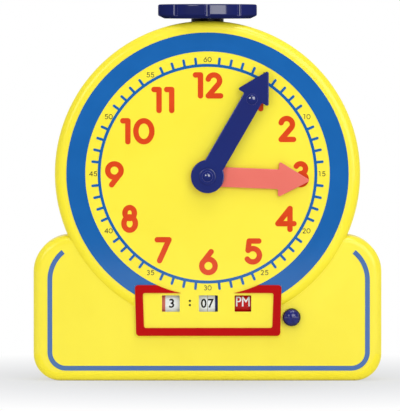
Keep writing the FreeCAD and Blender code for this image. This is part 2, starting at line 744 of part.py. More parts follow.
def rear_shell():
    """Rear half of the case, with its locating lip, bosses and spring seat."""
    base = plate_y(base_outline(0), 0, CASE_BACK)
    base = base.makeFillet(BACK_EDGE_R, edges_at_y(base, CASE_BACK))
    dial = rod_y(0, DIAL_Z, CASE_R, 0, CASE_BACK)
    dial = dial.makeFillet(BACK_EDGE_R, edges_at_y(dial, CASE_BACK))
    shell = base.fuse(dial).cut(silhouette(WALL, -OVERCUT, BACK_INSIDE))
    lip_in = WALL + LIP_CLEAR + LIP_THICK
    lip = silhouette(WALL + LIP_CLEAR, -LIP_HEIGHT, LIP_ROOT)
    lip_hole = silhouette(lip_in, -LIP_HEIGHT - OVERCUT, LIP_ROOT + OVERCUT)
    root = silhouette(WALL / 2.0, SIDE_PLAY, LIP_ROOT).cut(lip_hole)
    posts = [lip.cut(lip_hole), root]
    holes = []
    for x, z in screw_places():
        posts.append(rod_y(x, z, CASE_BOSS_R, 0, BACK_INSIDE + WALL / 2.0))
        holes.append(rod_y(x, z, SCREW_R + CASE_HOLE_CLEAR, -OVERCUT, CASE_BACK + OVERCUT))
        holes.append(rod_y(x, z, SCREW_HEAD_R + CASE_HOLE_CLEAR, CASE_SCREW_SEAT, CASE_BACK + OVERCUT))
    for x, z in frame_screw_places():
        posts.append(rod_y(x, z, PLATE_BOSS_R, BEARING_BACK, BACK_INSIDE + WALL / 2.0))
        holes.append(rod_y(x, z, SCREW_R, BEARING_BACK - OVERCUT, BACK_INSIDE))
    posts.append(rod_y(BUTTON_X, BUTTON_Z, SPRING_POST_R, SPRING_POST_FRONT, BACK_INSIDE + WALL / 2.0))
    holes.append(rod_y(0, DIAL_Z, BACK_PANEL_R, CASE_BACK - BACK_PANEL_DEPTH, CASE_BACK + OVERCUT))
    holes.append(bush_room())
    return shell.fuse(posts).cut(holes).removeSplitter()


def round_screw(x, z, seat, tip, toward):
    """Pan-head screw along Y; toward is the side that its head stands on."""
    top = seat + toward * SCREW_HEAD
    head = rod_y(x, z, SCREW_HEAD_R, min(seat, top), max(seat, top))
    shank = rod_y(x, z, SCREW_R, min(seat, tip), max(seat, tip))
    screw = head.fuse(shank).removeSplitter()
    screw = screw.makeFillet(SCREW_HEAD_ROUND, edges_at_y(screw, top))
    floor = top - toward * SCREW_CROSS_DEPTH
    slots = []
    for wide, tall in ((SCREW_CROSS_SPAN, SCREW_CROSS_WIDTH), (SCREW_CROSS_WIDTH, SCREW_CROSS_SPAN)):
        slots.append(block(
            x - wide / 2.0, x + wide / 2.0, min(top, floor), max(top, floor), z - tall / 2.0, z + tall / 2.0))
    return screw.cut(slots)


def case_screws():
    """Six screws that draw the shells together from the back."""
    return Part.makeCompound([
        round_screw(x, z, CASE_SCREW_SEAT, -CASE_SCREW_REACH, 1.0) for x, z in screw_places()])


# ======================= prints and bezel =======================
def bezel_block(inset, radius, y0, y1):
    """Solid with the outline of the window frame, moved in by inset."""
    wide = BEZEL_HALF_WIDTH - inset
    corners = tapered_outline(wide - BEZEL_TAPER, wide, BEZEL_BOTTOM + inset, BEZEL_TOP - inset, radius)
    return plate_y(corners, y0, y1)


def display_bezel():
    """Raised frame round the windows; the dial's inner disc cuts into its top bar."""
    front = DIAL_FACE - BEZEL_PROUD
    frame = bezel_block(0, BEZEL_OUTER_R, front, DIAL_FACE)
    frame = frame.makeFillet(BEZEL_EDGE_R, edges_at_y(frame, front))
    hole = bezel_block(BEZEL_BAR, BEZEL_INNER_R, front - OVERCUT, DIAL_FACE + OVERCUT)
    disc = rod_y(0, DIAL_Z, BAND_R_IN, front - OVERCUT, DIAL_FACE + OVERCUT)
    return frame.cut([hole, disc])


def dial_band():
    """Wide printed ring round the dial, stopped at the window frame."""
    ring = tube_y(0, DIAL_Z, BAND_R_OUT, BAND_R_IN, DIAL_FACE - PRINT_THICK, DIAL_FACE)
    gap = block(
        BEZEL_X - BEZEL_HALF_WIDTH, BEZEL_X + BEZEL_HALF_WIDTH, DIAL_FACE - OVERCUT, DIAL_FACE + OVERCUT,
        0, BEZEL_TOP)
    return ring.cut(gap)


def minute_track():
    """Ring with a tick at each minute, apart from the fives."""
    front = DIAL_FACE - PRINT_THICK
    parts = [tube_y(0, DIAL_Z, TRACK_R_OUT, TRACK_R_IN, front, DIAL_FACE)]
    middle = (TRACK_R_IN + TRACK_R_OUT) / 2.0
    end = TICK_R_OUT - TICK_WIDTH / 2.0
    for minute in range(60):
        if minute % 5 == 0:
            continue
        angle = math.radians(90.0 - 6.0 * minute)
        over = math.cos(angle)
        up = math.sin(angle)
        start_x, start_z = middle * over, DIAL_Z + middle * up
        end_x, end_z = end * over, DIAL_Z + end * up
        parts.append(slot_solid(start_x, start_z, end_x, end_z, TICK_WIDTH / 2.0, front, DIAL_FACE))
    return join(parts)


# Middle of each hour numeral from the dial's centre, as shares of HOUR_RING_R, and the pitch of the
# two-digit ones, as shares of HOUR_CAP.
HOUR_PLACES = {
    1: (0.561, 0.828), 2: (0.873, 0.491), 3: (1.021, -0.005), 4: (0.866, -0.496),
    5: (0.501, -0.853), 6: (0.010, -0.970), 7: (-0.487, -0.839), 8: (-0.854, -0.494),
    9: (-1.021, -0.006), 10: (-0.797, 0.466), 11: (-0.485, 0.809), 12: (-0.013, 0.969)}
HOUR_PITCH = {10: 0.687, 11: 0.481, 12: 0.602}


def hour_numerals():
    """The printed hours, one to twelve."""
    solids = []
    front = DIAL_FACE - PRINT_THICK
    for hour, (over, up) in HOUR_PLACES.items():
        x, z = over * HOUR_RING_R, DIAL_Z + up * HOUR_RING_R
        pitch = HOUR_PITCH.get(hour, 0.0) * HOUR_CAP
        solids.extend(number_solids(hour, x, z, pitch, HOUR_CAP, HOUR_STROKE, front, DIAL_FACE))
    return Part.makeCompound(solids)


def minute_numerals():
    """The small printed minutes, five to sixty."""
    solids = []
    for minute in range(5, 65, 5):
        angle = math.radians(90.0 - 6.0 * minute)
        solids.extend(number_solids(
            minute, MINUTE_RING_R * math.cos(angle), DIAL_Z + MINUTE_RING_R * math.sin(angle), MINUTE_PITCH,
            MINUTE_CAP, MINUTE_STROKE, DIAL_FACE - PRINT_THICK, DIAL_FACE))
    return Part.makeCompound(solids)


def stripe_outline(grow):
    """Outline along the stripe, moved out by grow."""
    left = STRIPE_CENTRE_X - STRIPE_HALF_WIDTH - grow
    right = STRIPE_CENTRE_X + STRIPE_HALF_WIDTH + grow
    top = STRIPE_SHOULDER_Z + STRIPE_SHOULDER_R + grow
    bottom = STRIPE_BOTTOM - grow
    return [
        (left, bottom, STRIPE_CORNER_R + grow), (right, bottom, STRIPE_CORNER_R + grow),
        (right, top, STRIPE_SHOULDER_R + grow), (left, top, STRIPE_SHOULDER_R + grow)]


def border_stripe():
    """Printed line round the base, open at the top where the dial is."""
    half = STRIPE_WIDTH / 2.0
    front = BASE_FACE - PRINT_THICK
    loop = plate_y(stripe_outline(half), front, BASE_FACE)
    loop = loop.cut(plate_y(stripe_outline(-half), front - OVERCUT, BASE_FACE + OVERCUT))
    centre = STRIPE_HALF_WIDTH - STRIPE_SHOULDER_R
    reach = 2.0 * STRIPE_SHOULDER_R
    out = centre + reach * math.cos(math.radians(STRIPE_SWEEP))
    top = STRIPE_SHOULDER_Z + reach * math.sin(math.radians(STRIPE_SWEEP))
    corners = [
        (STRIPE_CENTRE_X - centre, STRIPE_SHOULDER_Z, 0), (STRIPE_CENTRE_X + centre, STRIPE_SHOULDER_Z, 0),
        (STRIPE_CENTRE_X + out, top, 0), (STRIPE_CENTRE_X - out, top, 0)]
    return loop.cut(plate_y(corners, front - OVERCUT, BASE_FACE + OVERCUT))


def colon_dots():
    """Two printed dots between the hour and minute windows."""
    front = DIAL_FACE - PRINT_THICK
    return Part.makeCompound([
        rod_y(COLON_X, DRUM_Z + COLON_SHIFT + COLON_RISE * side, COLON_R, front, DIAL_FACE)
        for side in (-1.0, 1.0)])


# ======================= knob and drive shaft =======================
def knob():
    """Large turning knob, hollow below, with grip grooves round its rim."""
    rim_z = KNOB_BOTTOM + KNOB_CONE
    body = rod_z(0, 0, KNOB_R, rim_z, KNOB_TOP)
    cone = Part.makeCone(KNOB_CONE_R, KNOB_R, KNOB_CONE, Vec(0, 0, KNOB_BOTTOM), Vec(0, 0, 1))
    body = body.fuse(cone).removeSplitter()
    grooves = []
    for i in range(KNOB_GROOVES):
        angle = 2.0 * math.pi * i / KNOB_GROOVES - math.pi / 2.0
        reach = KNOB_R + KNOB_GROOVE_R - KNOB_GROOVE_DEPTH
        x, y = reach * math.cos(angle), reach * math.sin(angle)
        grooves.append(rod_z(x, y, KNOB_GROOVE_R, KNOB_BOTTOM - OVERCUT, KNOB_TOP + OVERCUT))
    body = body.makeFillet(KNOB_EDGE_R, edges_at_z(body, KNOB_TOP) + edges_at_z(body, rim_z))
    body = body.cut(grooves)
    hollow = tube_z(0, 0, KNOB_CONE_R - KNOB_SKIN, KNOB_HUB_R, KNOB_BOTTOM - OVERCUT, KNOB_TOP - KNOB_SKIN)
    bore = rod_z(0, 0, DRIVE_R, KNOB_BOTTOM - OVERCUT, SHAFT_HEAD)
    screw_hole = rod_z(0, 0, SCREW_R, SHAFT_HEAD - OVERCUT, KNOB_TOP + OVERCUT)
    recess = rod_z(0, 0, KNOB_RECESS_R, KNOB_SEAT, KNOB_TOP + OVERCUT)
    return body.cut([hollow, bore, screw_hole, recess])


def knob_bush():
    """Dark neck under the knob, held between the two shells."""
    flange_top = bush_flange_z()
    neck = rod_z(0, 0, BUSH_R, flange_top - BUSH_FLANGE_THICK, KNOB_BOTTOM - SIDE_PLAY)
    flange = rod_z(0, 0, BUSH_R + BUSH_FLANGE, flange_top - BUSH_FLANGE_THICK, flange_top)
    bore = rod_z(0, 0, DRIVE_R + RUNNING, flange_top - 2.0 * BUSH_FLANGE_THICK, KNOB_BOTTOM)
    return neck.fuse(flange).cut(bore).removeSplitter()


def knob_screw():
    """Screw that holds the knob on the shaft."""
    head = rod_z(0, 0, SCREW_HEAD_R, KNOB_SEAT, KNOB_SEAT + SCREW_HEAD)
    head = head.makeFillet(SCREW_HEAD_ROUND, edges_at_z(head, KNOB_SEAT + SCREW_HEAD))
    return head.fuse(rod_z(0, 0, SCREW_R, KNOB_SEAT - KNOB_SCREW_LENGTH, KNOB_SEAT)).removeSplitter()


def drive_shaft():
    """Upright shaft from the knob down to the display's bevel gears."""
    shaft = rod_z(0, 0, DRIVE_R, SHAFT_FOOT, SHAFT_HEAD)
    return shaft.cut(rod_z(0, 0, SCREW_R, KNOB_SEAT - KNOB_SCREW_LENGTH, SHAFT_HEAD + OVERCUT))


def upper_bevel_wheel():
    """Bevel gear on the drive shaft, above the hand arbor."""
    gear = bevel_gear(
        UPPER_BEVEL_TEETH, UPPER_BEVEL_TEETH, UPPER_BEVEL_MODULE, UPPER_BEVEL_FACE, -math.pi / 2.0)
    gear = placed(gear, Vec(0, 0, HUB_Z), Vec(1, 0, 0), Vec(0, 1, 0), Vec(0, 0, 1))
    large_end = HUB_Z + UPPER_BEVEL_MODULE * UPPER_BEVEL_TEETH / 2.0
    hub_top = HUB_Z + UPPER_EYE_RISE - SIDE_PLAY
    hub = rod_z(0, 0, 2.0 * DRIVE_R, large_end - OVERCUT, hub_top)
    return gear.fuse(hub).cut(rod_z(0, 0, DRIVE_R, HUB_Z, hub_top + OVERCUT)).removeSplitter()


def arbor_bevel():
    """Bevel gear on the hand arbor."""
    phase = math.pi / UPPER_BEVEL_TEETH
    gear = bevel_gear(UPPER_BEVEL_TEETH, UPPER_BEVEL_TEETH, UPPER_BEVEL_MODULE, UPPER_BEVEL_FACE, phase)
    gear = placed(gear, Vec(0, 0, HUB_Z), Vec(0, 0, 1), Vec(-1, 0, 0), Vec(0, -1, 0))
    large_end = -UPPER_BEVEL_MODULE * UPPER_BEVEL_TEETH / 2.0
    hub = rod_y(0, HUB_Z, 2.0 * ARBOR_R, PLATE_BACK + SIDE_PLAY, large_end + OVERCUT)
    bore = rod_y(0, HUB_Z, ARBOR_R, PLATE_BACK - OVERCUT, 0)
    return gear.fuse(hub).cut(bore).removeSplitter()


# ======================= movement behind the dial =======================
def movement_plate():
    """Plate that carries the hand arbor, the stud and three eyes for the drive shaft."""
    low = HUB_Z - PLATE_DOWN
    corners = rectangle(-PLATE_LEFT, PLATE_RIGHT, low, HUB_Z + PLATE_UP, PLATE_BOSS_R)
    plate = plate_y(corners, PLATE_FRONT, PLATE_BACK)
    half = EYE_WIDTH / 2.0
    leg = block(-half, half, PLATE_FRONT, PLATE_BACK, FOOT_EYE_Z, low + OVERCUT)
    parts = [plate, leg]
    holes = []
    starts = (HUB_Z + UPPER_EYE_RISE, HUB_Z - LOWER_EYE_DROP - EYE_THICK, FOOT_EYE_Z)
    for start in starts:
        parts.append(block(-half, half, PLATE_FRONT, EYE_DEPTH, start, start + EYE_THICK))
        holes.append(rod_z(0, 0, DRIVE_R + RUNNING, start - OVERCUT, start + EYE_THICK + OVERCUT))
    holes.append(rod_y(0, HUB_Z, ARBOR_R + RUNNING, PLATE_FRONT - OVERCUT, PLATE_BACK + OVERCUT))
    holes.append(rod_y(-HAND_CENTRES, HUB_Z, STUD_R, PLATE_FRONT - OVERCUT, PLATE_BACK + OVERCUT))
    for x, z in plate_screw_places():
        holes.append(rod_y(x, z, SCREW_R + CASE_HOLE_CLEAR, PLATE_FRONT - OVERCUT, PLATE_BACK + OVERCUT))
    return parts[0].fuse(parts[1:]).cut(holes).removeSplitter()


def plate_screw_places():
    """The movement plate's screws."""
    return [(x, HUB_Z + rise) for x in PLATE_SCREW_X for rise in (-PLATE_SCREW_RISE, PLATE_SCREW_RISE)]


def plate_screws():
    """Four screws that hold the movement plate on the front shell's bosses."""
    tip = DIAL_INSIDE + OVERCUT
    return Part.makeCompound([round_screw(x, z, PLATE_BACK, tip, 1.0) for x, z in plate_screw_places()])


def wheel_stud():
    """Fixed stud that the minute wheel turns on."""
    return rod_y(-HAND_CENTRES, HUB_Z, STUD_R, DIAL_INSIDE + SIDE_PLAY, PLATE_BACK)


def minute_arbor():
    """Shaft that carries the minute hand, its pinion and its bevel gear."""
    return rod_y(0, HUB_Z, ARBOR_R, MINUTE_HAND_FRONT, -ARBOR_TAIL)


def hand_gears():
    """The cannon pinion, the minute wheel with its pinion, and the hour wheel."""
    toward_stud = -math.pi / 2.0
    cannon, wheel = spur_pair(CANNON_TEETH, MINUTE_WHEEL_TEETH, HAND_CENTRES, GEAR_WIDTH, toward_stud)
    pinion, hour = spur_pair(
        MINUTE_PINION_TEETH, HOUR_WHEEL_TEETH, HAND_CENTRES, GEAR_WIDTH, toward_stud + math.pi)
    cannon = on_y(cannon, 0, CANNON_LAYER, HUB_Z)
    cannon = cannon.cut(rod_y(0, HUB_Z, ARBOR_R, CANNON_LAYER - OVERCUT, PLATE_FRONT))
    wheel = on_y(wheel, -HAND_CENTRES, CANNON_LAYER, HUB_Z)
    pinion = on_y(pinion, -HAND_CENTRES, HOUR_LAYER, HUB_Z)
    hub = rod_y(-HAND_CENTRES, HUB_Z, 2.0 * STUD_R, HOUR_LAYER, CANNON_LAYER + GEAR_WIDTH)
    bore = rod_y(-HAND_CENTRES, HUB_Z, STUD_R + RUNNING, HOUR_LAYER - OVERCUT, PLATE_FRONT)
    minute = wheel.fuse([pinion, hub]).cut(bore).removeSplitter()
    hour = on_y(hour, 0, HOUR_LAYER, HUB_Z)
    tube = rod_y(0, HUB_Z, HOUR_TUBE_R, HOUR_HAND_BACK, HOUR_LAYER + GEAR_WIDTH)
    seat = rod_y(0, HUB_Z, HOUR_SEAT_R, HOUR_HAND_FRONT, HOUR_HAND_BACK + OVERCUT)
    hole = rod_y(0, HUB_Z, HOUR_TUBE_BORE, HOUR_HAND_FRONT - OVERCUT, HOUR_LAYER + GEAR_WIDTH + OVERCUT)
    hour = hour.fuse([tube, seat]).cut(hole).removeSplitter()
    return cannon, minute, hour


def hand_blank(length, half_width, head_base, head_half, hub_r, y_front):
    """Arrow-shaped hand pointing to twelve, round its hub."""
    tip_half = math.atan2(head_half, length - head_base)
    tip = HUB_Z + length + ARROW_TIP_R * (1.0 / math.sin(tip_half) - 1.0)
    base = HUB_Z + head_base
    corners = [
        (-half_width, HUB_Z, 0), (half_width, HUB_Z, 0), (half_width, base, ARROW_NECK_R),
        (head_half, base, ARROW_TIP_R), (0, tip, ARROW_TIP_R),
        (-head_half, base, ARROW_TIP_R), (-half_width, base, ARROW_NECK_R)]
    arrow = plate_y(corners, y_front, y_front + HAND_THICK)
    disc = rod_y(0, HUB_Z, hub_r, y_front, y_front + HAND_THICK)
    hand = arrow.fuse(disc).removeSplitter()
    return hand.makeFillet(HAND_EDGE_R, edges_at_y(hand, y_front))


def turned(shape, degrees):
    """Shape turned clockwise about the dial's centre."""
    shape = shape.copy()
    shape.rotate(Vec(0, 0, HUB_Z), Vec(0, 1, 0), degrees)
    return shape


def minute_hand():
    """Minute hand with its finger peg."""
    hand = hand_blank(
        MINUTE_LENGTH, MINUTE_HALF_WIDTH, MINUTE_HEAD_BASE, MINUTE_HEAD_HALF, MINUTE_HUB_R, MINUTE_HAND_FRONT)
    peg = dome_y(0, HUB_Z + PEG_AT, PEG_R, MINUTE_HAND_FRONT, PEG_HEIGHT)
    root = rod_y(0, HUB_Z + PEG_AT, PEG_R, MINUTE_HAND_FRONT, MINUTE_HAND_BACK)
    bore = rod_y(0, HUB_Z, ARBOR_R, MINUTE_HAND_FRONT - OVERCUT, MINUTE_HAND_BACK + OVERCUT)
    return turned(hand.fuse([peg, root]).cut(bore).removeSplitter(), MINUTE_ANGLE)


def hour_hand():
    """Hour hand, pressed on the hour wheel's tube."""
    hand = hand_blank(
        HOUR_LENGTH, HOUR_HALF_WIDTH, HOUR_HEAD_BASE, HOUR_HEAD_HALF, HOUR_HUB_R, HOUR_HAND_FRONT)
    bore = rod_y(0, HUB_Z, HOUR_SEAT_R, HOUR_HAND_FRONT - OVERCUT, HOUR_HAND_BACK + OVERCUT)
    return turned(hand.cut(bore), HOUR_ANGLE)


def hub_cap():
    """Stepped cap over the end of the arbor."""
    step = rod_y(0, HUB_Z, CAP_R, MINUTE_HAND_FRONT - CAP_STEP, MINUTE_HAND_FRONT)
    step = step.makeFillet(CAP_EDGE_R, edges_at_y(step, MINUTE_HAND_FRONT - CAP_STEP))
    dome = dome_y(0, HUB_Z, CAP_DOME_R, MINUTE_HAND_FRONT - CAP_STEP, CAP_HEIGHT - CAP_STEP)
    return step.fuse(dome).removeSplitter()


# ======================= display gears and drums =======================
def rod_on_axle(radius, x0, x1):
    """Bar round the drum axle."""
    return rod_x(DRUM_Y, DRUM_Z, radius, x0, x1)


def direction(y0, z0, y1, z1):
    """Angle of the line from one shaft to another, seen along X."""
    return math.atan2(z1 - z0, y1 - y0)


LAY_TO_DRUM = direction(0, LAY_Z, DRUM_Y, DRUM_Z)
DRUM_TO_TRANSFER = direction(DRUM_Y, DRUM_Z, TRANSFER_Y, TRANSFER_Z)


def display_gears():
    """Every spur gear of the display, placed on its shaft, by name."""
    pairs = (
        ("tens_drive", "tens", TENS_LAY_TEETH, TENS_TEETH, LAY_CENTRES, LAY_TO_DRUM, TENS_GEAR_X),
        ("units_drive", "units", UNITS_LAY_TEETH, UNITS_TEETH, LAY_CENTRES, LAY_TO_DRUM, UNITS_PINION_X),
        ("tens_pinion", "transfer_wheel", TRANSFER_DRIVER_TEETH, TRANSFER_WHEEL_TEETH, TRANSFER_CENTRES,
         DRUM_TO_TRANSFER, TENS_PINION_X),
        ("transfer_pinion", "hour", TRANSFER_PINION_TEETH, HOUR_GEAR_TEETH, TRANSFER_CENTRES,
         DRUM_TO_TRANSFER + math.pi, HOUR_DRUM_X[1]),
        ("axle", "ampm_wheel", AXLE_PINION_TEETH, AMPM_WHEEL_TEETH, TRANSFER_CENTRES,
         DRUM_TO_TRANSFER, AXLE_PINION_X),
        ("ampm_pinion", "ampm", AMPM_PINION_TEETH, AMPM_GEAR_TEETH, TRANSFER_CENTRES,
         DRUM_TO_TRANSFER + math.pi, AMPM_GEAR_X))
    places = {
        "drive": (0, LAY_Z), "drum": (DRUM_Y, DRUM_Z), "transfer": (TRANSFER_Y, TRANSFER_Z)}
    homes = {
        "tens_drive": "drive", "units_drive": "drive", "transfer_wheel": "transfer",
        "transfer_pinion": "transfer", "ampm_wheel": "transfer", "ampm_pinion": "transfer"}
    gears = {}
    for first, second, first_teeth, second_teeth, centres, angle, x in pairs:
        driver, follower = spur_pair(first_teeth, second_teeth, centres, GEAR_WIDTH, angle)
        for name, gear in ((first, driver), (second, follower)):
            y, z = places[homes.get(name, "drum")]
            gears[name] = on_x(gear, x, y, z)
    return gears


def drum_shell(span, web_x0, web_x1):
    """Rim and web of one drum."""
    rim = tube_x(DRUM_Y, DRUM_Z, DRUM_R, DRUM_R - DRUM_RIM, span[0], span[1])
    return [rim, rod_on_axle(DRUM_R - DRUM_RIM / 2.0, web_x0, web_x1)]


def bored(parts, radius, x0, x1):
    """Parts joined and bored for the drum axle."""
    return parts[0].fuse(parts[1:]).cut(rod_on_axle(radius, x0 - OVERCUT, x1 + OVERCUT)).removeSplitter()


def hour_drum(gears):
    """Twelve hours; its gear closes the right side.  It is fixed on the axle."""
    end = HOUR_DRUM_X[1] + GEAR_WIDTH
    rim = (HOUR_DRUM_X[0], HOUR_DRUM_X[1] - LABEL_MARGIN)
    parts = drum_shell(rim, HOUR_DRUM_X[1] - DRUM_RIM, HOUR_DRUM_X[1])
    parts += [gears["hour"], rod_on_axle(DRUM_HUB_R, HOUR_DRUM_X[0], end)]
    return bored(parts, AXLE_R, HOUR_DRUM_X[0], end)


def tens_drum(gears):
    """Tens of minutes, with its gear and the pinion that drives the hours."""
    parts = drum_shell(TENS_DRUM_X, TENS_DRUM_X[0], TENS_DRUM_X[0] + DRUM_RIM)
    parts += [gears["tens"], gears["tens_pinion"], rod_on_axle(DRUM_HUB_R, TENS_GEAR_X, TENS_DRUM_X[1])]
    return bored(parts, AXLE_R + RUNNING, TENS_GEAR_X, TENS_DRUM_X[1])


def units_drum(gears):
    """Single minutes, with its pinion."""
    end = UNITS_PINION_X + GEAR_WIDTH
    parts = drum_shell(UNITS_DRUM_X, UNITS_DRUM_X[1] - DRUM_RIM, UNITS_DRUM_X[1])
    parts += [gears["units"], rod_on_axle(DRUM_HUB_R, UNITS_DRUM_X[0], end)]
    return bored(parts, AXLE_R + RUNNING, UNITS_DRUM_X[0], end)


def ampm_drum(gears):
    """Morning and afternoon, with its gear."""
    start = UNITS_PINION_X + GEAR_WIDTH + SIDE_PLAY
    end = AMPM_GEAR_X + GEAR_WIDTH
    parts = drum_shell(AMPM_DRUM_X, AMPM_DRUM_X[1] - DRUM_RIM, AMPM_DRUM_X[1])
    parts += [gears["ampm"], rod_on_axle(DRUM_HUB_R, start, end)]
    return bored(parts, AXLE_R + RUNNING, start, end)


def drum_label(x0, x1):
    """Printed strip wrapped round a drum."""
    return tube_x(DRUM_Y, DRUM_Z, DRUM_R + LABEL_THICK, DRUM_R, x0, x1)


def axle_pinion(gears):
    """Pinion fixed on the right end of the drum axle."""
    start = AMPM_GEAR_X + GEAR_WIDTH + SIDE_PLAY
    end = AXLE_PINION_X + GEAR_WIDTH
    return bored([gears["axle"], rod_on_axle(DRUM_HUB_R, start, end)], AXLE_R, start, end)


def axle_end():
    """Right end of the drum axle, past the crank and its clip."""
    return crank_x() + CRANK_THICK + 2.0 * SIDE_PLAY + 2.0 * CLIP_THICK


def crank_x():
    """Left face of the shutter's crank, outside the right bearing plate."""
    return RIGHT_PLATE_X + BEARING_PLATE + 2.0 * SIDE_PLAY


def drum_axle():
    """Axle that the drums turn on; the hour drum turns it."""
    return rod_on_axle(AXLE_R, LEFT_PLATE_X - SIDE_PLAY - 2.0 * CLIP_THICK, axle_end())


def clip(y, z, radius, x):
    """Snap ring in a shaft's end."""
    ring = tube_x(y, z, CLIP_R, radius, x, x + CLIP_THICK)
    half = CLIP_MOUTH / 2.0
    return ring.cut(block(x - OVERCUT, x + CLIP_THICK + OVERCUT, y - half, y + half, z, z + CLIP_R + OVERCUT))


def drum_axle_clips():
    """Two snap rings on the drum axle."""
    return Part.makeCompound([
        clip(DRUM_Y, DRUM_Z, AXLE_R, LEFT_PLATE_X - SIDE_PLAY - CLIP_THICK),
        clip(DRUM_Y, DRUM_Z, AXLE_R, crank_x() + CRANK_THICK + SIDE_PLAY)])


def lay_shaft():
    """Shaft across the display, turned by the lower bevel gears."""
    reach = SIDE_PLAY + 2.0 * CLIP_THICK
    return rod_x(0, LAY_Z, AXLE_R, LEFT_PLATE_X - reach, RIGHT_PLATE_X + BEARING_PLATE + reach)


def lay_shaft_clips():
    """Two snap rings on the lay shaft."""
    return Part.makeCompound([
        clip(0, LAY_Z, AXLE_R, LEFT_PLATE_X - SIDE_PLAY - CLIP_THICK),
        clip(0, LAY_Z, AXLE_R, RIGHT_PLATE_X + BEARING_PLATE + SIDE_PLAY)])


def on_lay(gear, hub_x0, hub_x1, bore_x0):
    """Gear with a short hub, bored for the lay shaft."""
    hub = rod_x(0, LAY_Z, DRUM_HUB_R, hub_x0, hub_x1)
    bore = rod_x(0, LAY_Z, AXLE_R, bore_x0 - OVERCUT, hub_x1 + OVERCUT)
    return gear.fuse(hub).cut(bore).removeSplitter()


def lower_bevel_wheel():
    """Bevel wheel on the foot of the drive shaft."""
    gear = bevel_gear(LOWER_WHEEL_TEETH, LOWER_PINION_TEETH, LOWER_BEVEL_MODULE, LOWER_WHEEL_FACE, 0.0)
    gear = placed(gear, Vec(0, 0, LAY_Z), Vec(1, 0, 0), Vec(0, 1, 0), Vec(0, 0, 1))
    hub_top = FOOT_EYE_Z - SIDE_PLAY
    large_end = LAY_Z + LOWER_BEVEL_MODULE * LOWER_PINION_TEETH / 2.0
    hub = rod_z(0, 0, 2.0 * DRIVE_R, large_end - OVERCUT, hub_top)
    return gear.fuse(hub).cut(rod_z(0, 0, DRIVE_R, LAY_Z, hub_top + OVERCUT)).removeSplitter()


def bevel_pinion():
    """Bevel pinion on the lay shaft."""
    phase = math.pi / 2.0 + math.pi / LOWER_PINION_TEETH
    height = LOWER_BEVEL_MODULE * LOWER_WHEEL_TEETH / 2.0
    face = LOWER_WHEEL_FACE * LOWER_WHEEL_TEETH / LOWER_PINION_TEETH
    gear = bevel_gear(LOWER_PINION_TEETH, LOWER_WHEEL_TEETH, LOWER_BEVEL_MODULE, face, phase)
    gear = on_x(gear, 0, 0, LAY_Z)
    return on_lay(gear, height - OVERCUT, UNITS_PINION_X - LAYER_GAP, height - face)


def tens_drive_gear(gears):
    """Gear on the lay shaft for the tens drum."""
    start = TENS_GEAR_X - LAYER_GAP
    return on_lay(gears["tens_drive"], start, TENS_GEAR_X + GEAR_WIDTH + LAYER_GAP, start)


def units_drive_gear(gears):
    """Large gear on the lay shaft for the units drum."""
    start = UNITS_PINION_X - LAYER_GAP / 2.0
    return on_lay(gears["units_drive"], start, UNITS_PINION_X + 2.0 * GEAR_WIDTH, start)


def hour_transfer(gears):
    """Compound gear that slows the tens drum's turn down to the hours."""
    start = LEFT_PLATE_X + BEARING_PLATE + SIDE_PLAY
    end = TENS_PINION_X + GEAR_WIDTH
    sleeve = rod_x(TRANSFER_Y, TRANSFER_Z, SLEEVE_R, start, end)
    bore = rod_x(TRANSFER_Y, TRANSFER_Z, TRANSFER_R + RUNNING, start - OVERCUT, end + OVERCUT)
    return gears["transfer_wheel"].fuse([gears["transfer_pinion"], sleeve]).cut(bore).removeSplitter()


def ampm_transfer(gears):
    """Compound gear between the drum axle and the morning and afternoon drum."""
    start = AMPM_GEAR_X
    end = RIGHT_PLATE_X - SIDE_PLAY
    sleeve = rod_x(TRANSFER_Y, TRANSFER_Z, SLEEVE_R, start, end)
    bore = rod_x(TRANSFER_Y, TRANSFER_Z, TRANSFER_R + RUNNING, start - OVERCUT, end + OVERCUT)
    return gears["ampm_wheel"].fuse([gears["ampm_pinion"], sleeve]).cut(bore).removeSplitter()


def transfer_axle():
    """Fixed axle between the bearing plates."""
    return rod_x(TRANSFER_Y, TRANSFER_Z, TRANSFER_R, LEFT_PLATE_X, RIGHT_PLATE_X + BEARING_PLATE)


def transfer_spacer():
    """Tube that keeps the two compound gears apart."""
    start = TENS_PINION_X + GEAR_WIDTH + SIDE_PLAY
    return tube_x(TRANSFER_Y, TRANSFER_Z, SLEEVE_R, TRANSFER_R, start, AMPM_GEAR_X - SIDE_PLAY)


def bearing_plate(x, outward, axle_hole):
    """Upright plate that carries the three shafts, with a flange on the rear shell's bosses."""
    low = TRANSFER_Z - BEARING_FOOT
    top = LAY_Z + BEARING_TOP
    plate = plate_x(
        rectangle(BEARING_FRONT, BEARING_BACK, low, top, BEARING_CORNER_R), x, x + BEARING_PLATE)
    edge = x if outward < 0 else x + BEARING_PLATE
    far = edge + outward * FLANGE_WIDTH
    inner = x if outward > 0 else x + BEARING_PLATE
    flange = block(
        min(inner, far), max(inner, far), BEARING_BACK - BEARING_PLATE, BEARING_BACK,
        low + FLANGE_SHORT, top - FLANGE_SHORT)
    holes = [
        rod_x(0, LAY_Z, AXLE_R + RUNNING, x - OVERCUT, x + BEARING_PLATE + OVERCUT),
        rod_on_axle(axle_hole, x - OVERCUT, x + BEARING_PLATE + OVERCUT),
        rod_x(TRANSFER_Y, TRANSFER_Z, TRANSFER_R, x - OVERCUT, x + BEARING_PLATE + OVERCUT)]
    front = BEARING_BACK - BEARING_PLATE
    hole_r = SCREW_R + CASE_HOLE_CLEAR
    for screw_x, screw_z in frame_screw_places():
        holes.append(rod_y(screw_x, screw_z, hole_r, front - OVERCUT, BEARING_BACK + OVERCUT))
    return plate.fuse(flange).cut(holes).removeSplitter()


